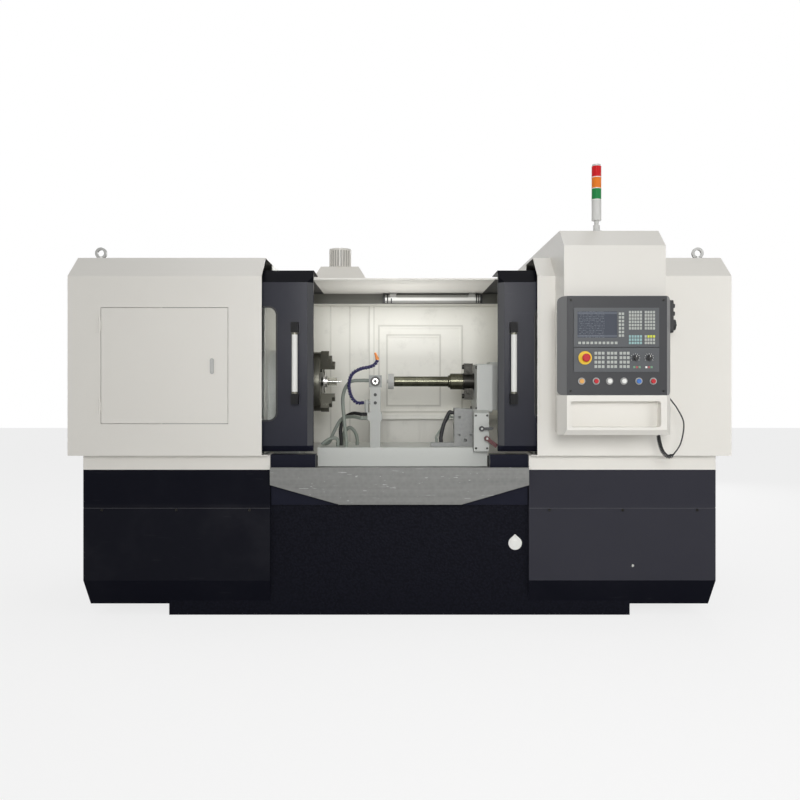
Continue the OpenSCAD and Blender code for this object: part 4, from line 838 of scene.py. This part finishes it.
def coolant_hose():
    """Ball-jointed segments threaded along the route, with a cone nozzle at the end."""
    y, radius, pitch, nozzle_l = -295, 11, 15.5, 34
    path = smooth(metres([(-197.5, 1144), (-236, 1144), (-268, 1178), (-282, 1244), (-265, 1302),
                          (-220, 1332), (-176, 1342), (-144, 1354), (-125, 1378), (-122, 1402),
                          (-136, 1424)], y), 9)
    count = int((length_of(path) - nozzle_l * MM) / (pitch * MM))
    bead = turned("bead", [(6.2, 0), (8.4, 1.2), (9.6, 3.5), (9.2, 6), (8.0, 7.4), (9.4, 8.2),
                           (10.9, 9.4), (10.9, 13.8), (9.6, 15.2), (6.0, 15.4)],
                  (0, 0, 0), sides=20)
    moves, travelled, wanted = [], 0.0, 0.0
    for a, b in zip(path, path[1:]):
        step = (b - a).length
        while len(moves) < count and travelled + step >= wanted:
            moves.append(bead_matrix(a.lerp(b, (wanted - travelled) / step), (b - a).normalized()))
            wanted += pitch * MM
        travelled += step
    pieces = copied(bead, moves)
    bpy.data.objects.remove(pieces.pop(0))
    hose = joined("segmented_hose", pieces, hose_blue, "frame")
    tip_from, tip_to = moves[-1] @ Vector((0, 0, 14.5 * MM)), path[-1]
    reach = (tip_to - tip_from).length / MM
    nozzle = turned("nozzle", [(9.2, 0), (10.6, 1.5), (10.6, 12), (8.4, 14), (5.6, reach - 3),
                               (5.0, reach), (3.2, reach), (2.8, reach - 6)], (0, 0, 0), sides=24)
    nozzle.data.transform(bead_matrix(tip_from, (tip_to - tip_from).normalized()))
    nozzle = joined("hose_nozzle", [nozzle], nozzle_orange, "frame")
    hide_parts("coolant_hose")
    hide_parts("coolant_hose")
    line = [move.translation for move in moves] + [moves[-1] @ Vector((0, 0, 15 * MM))]
    length_of(line)


coolant_hose()


# Fittings

def bar(name, low, high, ease=0.5):
    """A bar between two corners in mm, with its edges eased."""
    start()
    bpy.ops.mesh.primitive_cube_add(size=1)
    piece = bpy.context.object
    piece.name = name
    size = Vector(high) - Vector(low)
    bpy.ops.object.mode_set(mode="EDIT")
    bpy.ops.mesh.select_all(action="SELECT")
    bpy.ops.transform.resize(value=size * MM)
    bpy.ops.transform.translate(value=(Vector(low) + size / 2) * MM)
    bpy.ops.mesh.bevel(offset=ease * MM, segments=2, affect="EDGES")
    bpy.ops.object.mode_set(mode="OBJECT")
    return piece


def ring_outline(inner, outer, low, high, ease):
    """Outline of a bored ring whose outer end is eased, in mm."""
    return [(outer, low), (outer, high - ease), (outer - ease, high), (inner + ease, high),
            (inner, high - ease), (inner, low)]


def ring_set(name, outline, places, axis, sides, finish, body):
    """Bored rings of one outline at several places in mm, as one piece."""
    first = turned("ring", outline, places[0], axis, sides, bored=True)
    joined(name, repeated(first, places), finish, body)


def screws(name, size, axis, places, body):
    """Socket cap screws of one head radius, in mm, sunk 1 mm into what they hold."""
    head = turned("screw", [(size, -1), (size, 0.55 * size), (0.86 * size, 0.70 * size),
                            (0.50 * size, 0.70 * size), (0.46 * size, 0.20 * size)],
                  places[0], axis, 18)
    joined(name, repeated(head, places), blackened, body)


def gasket(name, x0, x1, body):
    """Rubber seal round a door window: a plate with round corners, inset to leave a frame."""
    z0, z1, corner, width, depth, door_y = 1055.5, 1656.5, 40, 9, 3, -509.5
    start()
    bpy.ops.mesh.primitive_plane_add(size=1)
    piece = bpy.context.object
    bpy.ops.object.mode_set(mode="EDIT")
    bpy.ops.mesh.select_all(action="SELECT")
    bpy.ops.transform.resize(value=((x1 - x0 + 2 * width) * MM, (z1 - z0 + 2 * width) * MM, 1))
    bpy.ops.mesh.bevel(offset=(corner + width) * MM, segments=8, affect="VERTICES")
    bpy.ops.mesh.select_all(action="SELECT")
    bpy.ops.mesh.inset(thickness=width * MM)
    bpy.ops.mesh.delete(type="FACE")
    bpy.ops.mesh.select_all(action="SELECT")
    bpy.ops.mesh.extrude_region_move(TRANSFORM_OT_translate={"value": (0, 0, depth * MM)})
    bpy.ops.mesh.select_all(action="SELECT")
    bpy.ops.mesh.normals_make_consistent(inside=False)
    bpy.ops.object.mode_set(mode="OBJECT")
    rounding = piece.modifiers.new("rounding", "BEVEL")
    rounding.width = 0.9 * MM
    rounding.segments = 2
    bpy.ops.object.modifier_apply(modifier=rounding.name)
    centre = Vector(((x0 + x1) / 2, door_y, (z0 + z1) / 2)) * MM
    piece.data.transform(Matrix.Translation(centre) @ Matrix.Rotation(math.pi / 2, 4, "X"))
    bpy.ops.object.shade_smooth_by_angle(angle=math.radians(35))
    joined(name, [piece], black_rubber, body)


def machine_screws():
    """Screws of the skirts, console, wheelhead plate, valve block and chuck."""
    across = [side * x for side in (-1, 1) for x in (806, 1200, 1600)]
    screws("skirt_screws", 7, "-y", [(x, -491, 570) for x in across], "frame")
    corners = [(x, CONSOLE_FACE_Y, z) for x in (845, 1305) for z in (1212, 1662)]
    screws("console_screws", 5, "-y", corners, "frame")
    corners = [(430, y, z) for y in (-335, -15) for z in (1110, 1340)]
    screws("plate_screws", 9, "-x", corners, "wheelhead")
    corners = [(x, -395, z) for x in (420, 482) for z in (895, 1075)]
    screws("valve_screws", 6, "-y", corners, "wheelhead")
    face_x, circle_r = -444, 122
    low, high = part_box("chuck")
    y, z = (low.y + high.y) / 2 / MM, (low.z + high.z) / 2 / MM
    around = [math.radians(a) for a in (60, 180, 300)]
    places = [(face_x, y - circle_r * math.sin(a), z + circle_r * math.cos(a)) for a in around]
    screws("chuck_screws", 10, "x", places, "work_spindle")


def button_bezels():
    """Bright rings round the six push buttons."""
    places = [(x, CONSOLE_FACE_Y, 1261) for x in (899, 971, 1037, 1108, 1182, 1253)]
    ring_set("button_bezels", ring_outline(11.8, 17.6, 0.2, 5.0, 1.2), places, "-y", 36,
             eye_steel, "frame")


def cycle_keys():
    """Start and stop keys under the two knobs."""
    half, proud, seat, low, high = 5, 2.5, UNIT_FACE_Y + 0.5, 1325, 1335
    green = moulded("key_green", (0.16, 0.34, 0.20), 0.30, 0.04)
    red = moulded("key_red", (0.42, 0.09, 0.10), 0.30, 0.04)
    keys = (("green", green, (1159, 1185, 1244)), ("red", red, (1172, 1231)),
            ("white", white_plastic, (1218,)))
    for colour, finish, across in keys:
        caps = [bar("key", (x - half, seat - proud, low), (x + half, seat, high), 0.6)
                for x in across]
        joined(f"{colour}_cycle_keys", caps, finish, "frame")


def dresser_bush():
    """Bright bush that holds the diamond in the dresser's head."""
    ring_set("dresser_bush", ring_outline(8.5, 16, 0, 5, 0.6), [(DRESSER_X, -319, DRESSER_HEAD_Z)],
             "-y", 40, bright_steel, "frame")


def knob_marks():
    """Scale strokes round both knobs on the keypad, and a pointer on each knob."""
    low, high = (-0.8, UNIT_FACE_Y - 0.8, 18.5), (0.8, UNIT_FACE_Y + 0.5, 23.5)
    turns = [Matrix.Rotation(math.radians(a), 4, "Y") for a in range(-120, 121, 30)]
    for k, x in enumerate((1164, 1232)):
        strokes = copied(bar("stroke", low, high, 0.3), turns)
        bpy.data.objects.remove(strokes.pop(0))
        for piece in strokes:
            piece.data.transform(Matrix.Translation(Vector((x, 0, KNOB_Z)) * MM))
        joined(f"knob_scale_{k + 1}", strokes, white_plastic, "frame")
        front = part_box(f"knob_{k + 1}")[0].y / MM
        pointer = bar("pointer", (x - 1.2, front - 0.5, KNOB_Z + 3),
                      (x + 1.2, front + 1, KNOB_Z + 12), 0.3)
        joined(f"knob_pointer_{k + 1}", [pointer], white_plastic, f"knob_{k + 1}")


def tower_rings():
    """White collars between the lenses of the signal tower."""
    places = [(1031, -609, z) for z in (2209, 2268, 2327)]
    ring_set("tower_rings", ring_outline(24.4, 25.8, 0, 4, 0.5), places, "z", 40,
             white_plastic, "frame")


def handle_bands():
    """Metal bands where each grip tube enters its brackets."""
    band_h, tube_in = 10, 18.5
    for door, node in (("left_door", "left_handle"), ("right_door", "right_handle")):
        low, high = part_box(node)
        x, y = (low.x + high.x) / 2 / MM, low.y / MM + tube_in
        heights = low.z / MM + BRACKET_H, high.z / MM - BRACKET_H - band_h
        ring_set(f"{node}_bands", ring_outline(15.0, 17.2, 0, band_h, 0.8),
                 [(x, y, z) for z in heights], "z", 36, chuck_steel, door)


def lamp_bands():
    """Black clamping bands near the ends of the lamp tube."""
    places = [(x, LAMP_Y, LAMP_Z) for x in (-74, -50, 478, 492)]
    ring_set("lamp_bands", ring_outline(26.5, 29.0, 0, 7, 0.6), places, "x", 40,
             black_rubber, "frame")


def slat(low, high):
    """A pressed louvre: a bar whose upper outer edge is pushed in to the panel."""
    piece = bar("slat", low, high, 1.0)
    middle = (low[2] + high[2]) / 2 * MM
    outer = (high[1] - 4) * MM
    for vertex in piece.data.vertices:
        vertex.select = vertex.co.z > middle and vertex.co.y > outer
    bpy.ops.object.mode_set(mode="EDIT")
    bpy.ops.transform.translate(value=(0, (low[1] + 2 - high[1]) * MM, 0))
    bpy.ops.object.mode_set(mode="OBJECT")
    return piece


def service_panel(name, at, turn, half):
    """Bolted panel with two columns of louvres, made facing the rear and turned about Z."""
    low, high, sheet, edge = -380, 380, 4, 22
    slat_l, slat_h, slat_out, pitch, rows = 230, 24, 15, 38, 8
    left, right, foot = -slat_l - 20, 20, low + 80
    place = Matrix.Translation(Vector(at) * MM) @ Matrix.Rotation(math.radians(turn), 4, "Z")
    steps = [(x - left, 0, pitch * k) for x in (left, right) for k in range(rows)][1:]
    plate = bar("plate", (-half, -1, low), (half, sheet, high), 1.5)
    louvre = slat((left, sheet - 1, foot), (left + slat_l, slat_out, foot + slat_h))
    slats = copied(louvre, steps)
    # Painted shade: a black bar under each louvre stands in for the shade in its slot.
    gap = bar("gap", (left + 4, sheet - 1, foot - 8),
              (left + slat_l - 4, sheet + 1.5, foot + 0.5), 0.4)
    gaps = copied(gap, steps)
    corners = [(s * (half - edge), sheet, z)
               for s in (-1, 1) for z in (low + edge, 0, high - edge)]
    head = turned("head", [(8, -1), (8, 3), (6.5, 4.6), (2.6, 5.2), (2.4, 2.6)],
                  corners[0], "y", 18)
    heads = repeated(head, corners)
    lock = turned("lock", [(17, -1), (17, 1.6), (15.6, 3), (9, 3), (8.4, 6), (2.2, 6), (2.0, 2)],
                  (0, sheet, high - 60), "y", 28)
    for piece in [plate] + slats + gaps + heads + [lock]:
        piece.data.transform(place)
    joined(name, [plate] + slats, white_paint, "frame")
    joined(f"{name}_gaps", gaps, black_rubber, "frame")
    joined(f"{name}_screws", heads + [lock], bright_steel, "frame")


def service_panels():
    """Panels on the rear and on both ends of the enclosures."""
    rear_y, end_x, end_y, z = 900, 1760, 215, 1400
    service_panel("left_rear_panel", (-1255, rear_y, z), 0, 330)
    service_panel("right_rear_panel", (1255, rear_y, z), 0, 330)
    service_panel("left_end_panel", (-end_x, end_y, z), 90, 360)
    service_panel("right_end_panel", (end_x, end_y, z), -90, 360)


def bed_ledges():
    """Cover strips on the bed under the ends of the apron."""
    strips = [bar("ledge", (x0, -476, 596), (x1, -464, 700), 1.5)
              for x0, x1 in ((-692, -330), (340, 692))]
    joined("bed_ledges", strips, door_paint, "frame")


machine_screws()
button_bezels()
cycle_keys()
dresser_bush()
knob_marks()
tower_rings()
handle_bands()
lamp_bands()
service_panels()
bed_ledges()
gasket("left_gasket", -1092, -662, "left_door")
gasket("right_gasket", 730, 1160, "right_door")


# Floor, backdrop and light

def studio_floor():
    """Pale floor that fades towards plain white where the camera sees it."""
    start()
    bpy.ops.mesh.primitive_plane_add(size=40, location=(0, 0, 0))
    floor = bpy.context.object
    floor.name = "floor"
    ground = Finish("studio_floor", (0.9, 0.9, 0.9), 0.9)
    cloud = ground.mix(ground.noise(0.6), (0.88, 0.88, 0.88), (0.92, 0.92, 0.92))
    ground.feed("Base Color", cloud)
    seen = ground.node("ShaderNodeLightPath", output="Is Camera Ray")
    glow = ground.node("ShaderNodeEmission", values={"Color": (1, 1, 1, 1), "Strength": 1.0})
    shaded = Wire(ground, ground.shader.outputs[0])
    lit = ground.node("ShaderNodeMixShader", values={0: seen * 0.78, 1: shaded, 2: glow})
    ground.tree.links.new(lit.socket, ground.tree.nodes["Material Output"].inputs["Surface"])
    floor.data.materials.append(ground.material)


def studio_backdrop():
    """Soft even light, with plain white behind the machine, in reflections and through glass."""
    world = bpy.data.worlds.new("studio")
    bpy.context.scene.world = world
    world.use_nodes = True
    tree = world.node_tree
    soft = tree.nodes["Background"]
    soft.inputs["Color"].default_value = (1, 1, 1, 1)
    soft.inputs["Strength"].default_value = 0.30
    white = tree.nodes.new("ShaderNodeBackground")
    white.inputs["Color"].default_value = (1, 1, 1, 1)
    rays = tree.nodes.new("ShaderNodeLightPath")
    seen = rays.outputs["Is Camera Ray"]
    for kind in ("Is Glossy Ray", "Is Transmission Ray"):
        either = tree.nodes.new("ShaderNodeMath")
        either.operation = "MAXIMUM"
        tree.links.new(seen, either.inputs[0])
        tree.links.new(rays.outputs[kind], either.inputs[1])
        seen = either.outputs[0]
    blend = tree.nodes.new("ShaderNodeMixShader")
    tree.links.new(seen, blend.inputs[0])
    tree.links.new(soft.outputs[0], blend.inputs[1])
    tree.links.new(white.outputs[0], blend.inputs[2])
    tree.links.new(blend.outputs[0], tree.nodes["World Output"].inputs["Surface"])


def studio_lamps():
    """Square lamps: name, place, aim, size, power and spread in degrees."""
    lamps = (("key", (0.15, -6.6, 2.3), (1.2, -0.6, 1.2), 1.6, 53, 100),
             ("left", (-5.4, -4.4, 1.9), (-0.2, 0, 1.0), 3.0, 30, 180),
             ("right", (4.8, -4.8, 1.9), (0.6, 0, 1.0), 2.4, 60, 180),
             ("top", (0, 0.4, 6.0), (0, 0, 0.8), 4.5, 40, 180),
             ("back", (2.2, 6.4, 2.4), (0, 0.9, 1.2), 3.0, 90, 180),
             ("bounce", (0.02, -0.10, 1.42), (0.02, -0.10, 2.0), 0.7, 2.2, 180),
             ("wall", (0.02, -0.36, 1.66), (0.02, 0.45, 1.00), 0.35, 0.5, 180))
    for name, place, aim, size, power, spread in lamps:
        data = bpy.data.lights.new(name, "AREA")
        data.shape = "SQUARE"
        data.size = size
        data.energy = power
        data.spread = math.radians(spread)
        lamp = bpy.data.objects.new(name, data)
        lamp.location = place
        lamp.rotation_euler = (Vector(aim) - Vector(place)).to_track_quat("-Z", "Y").to_euler()
        bpy.context.collection.objects.link(lamp)


studio_floor()
studio_backdrop()
studio_lamps()
bpy.context.scene.view_settings.view_transform = "Standard"
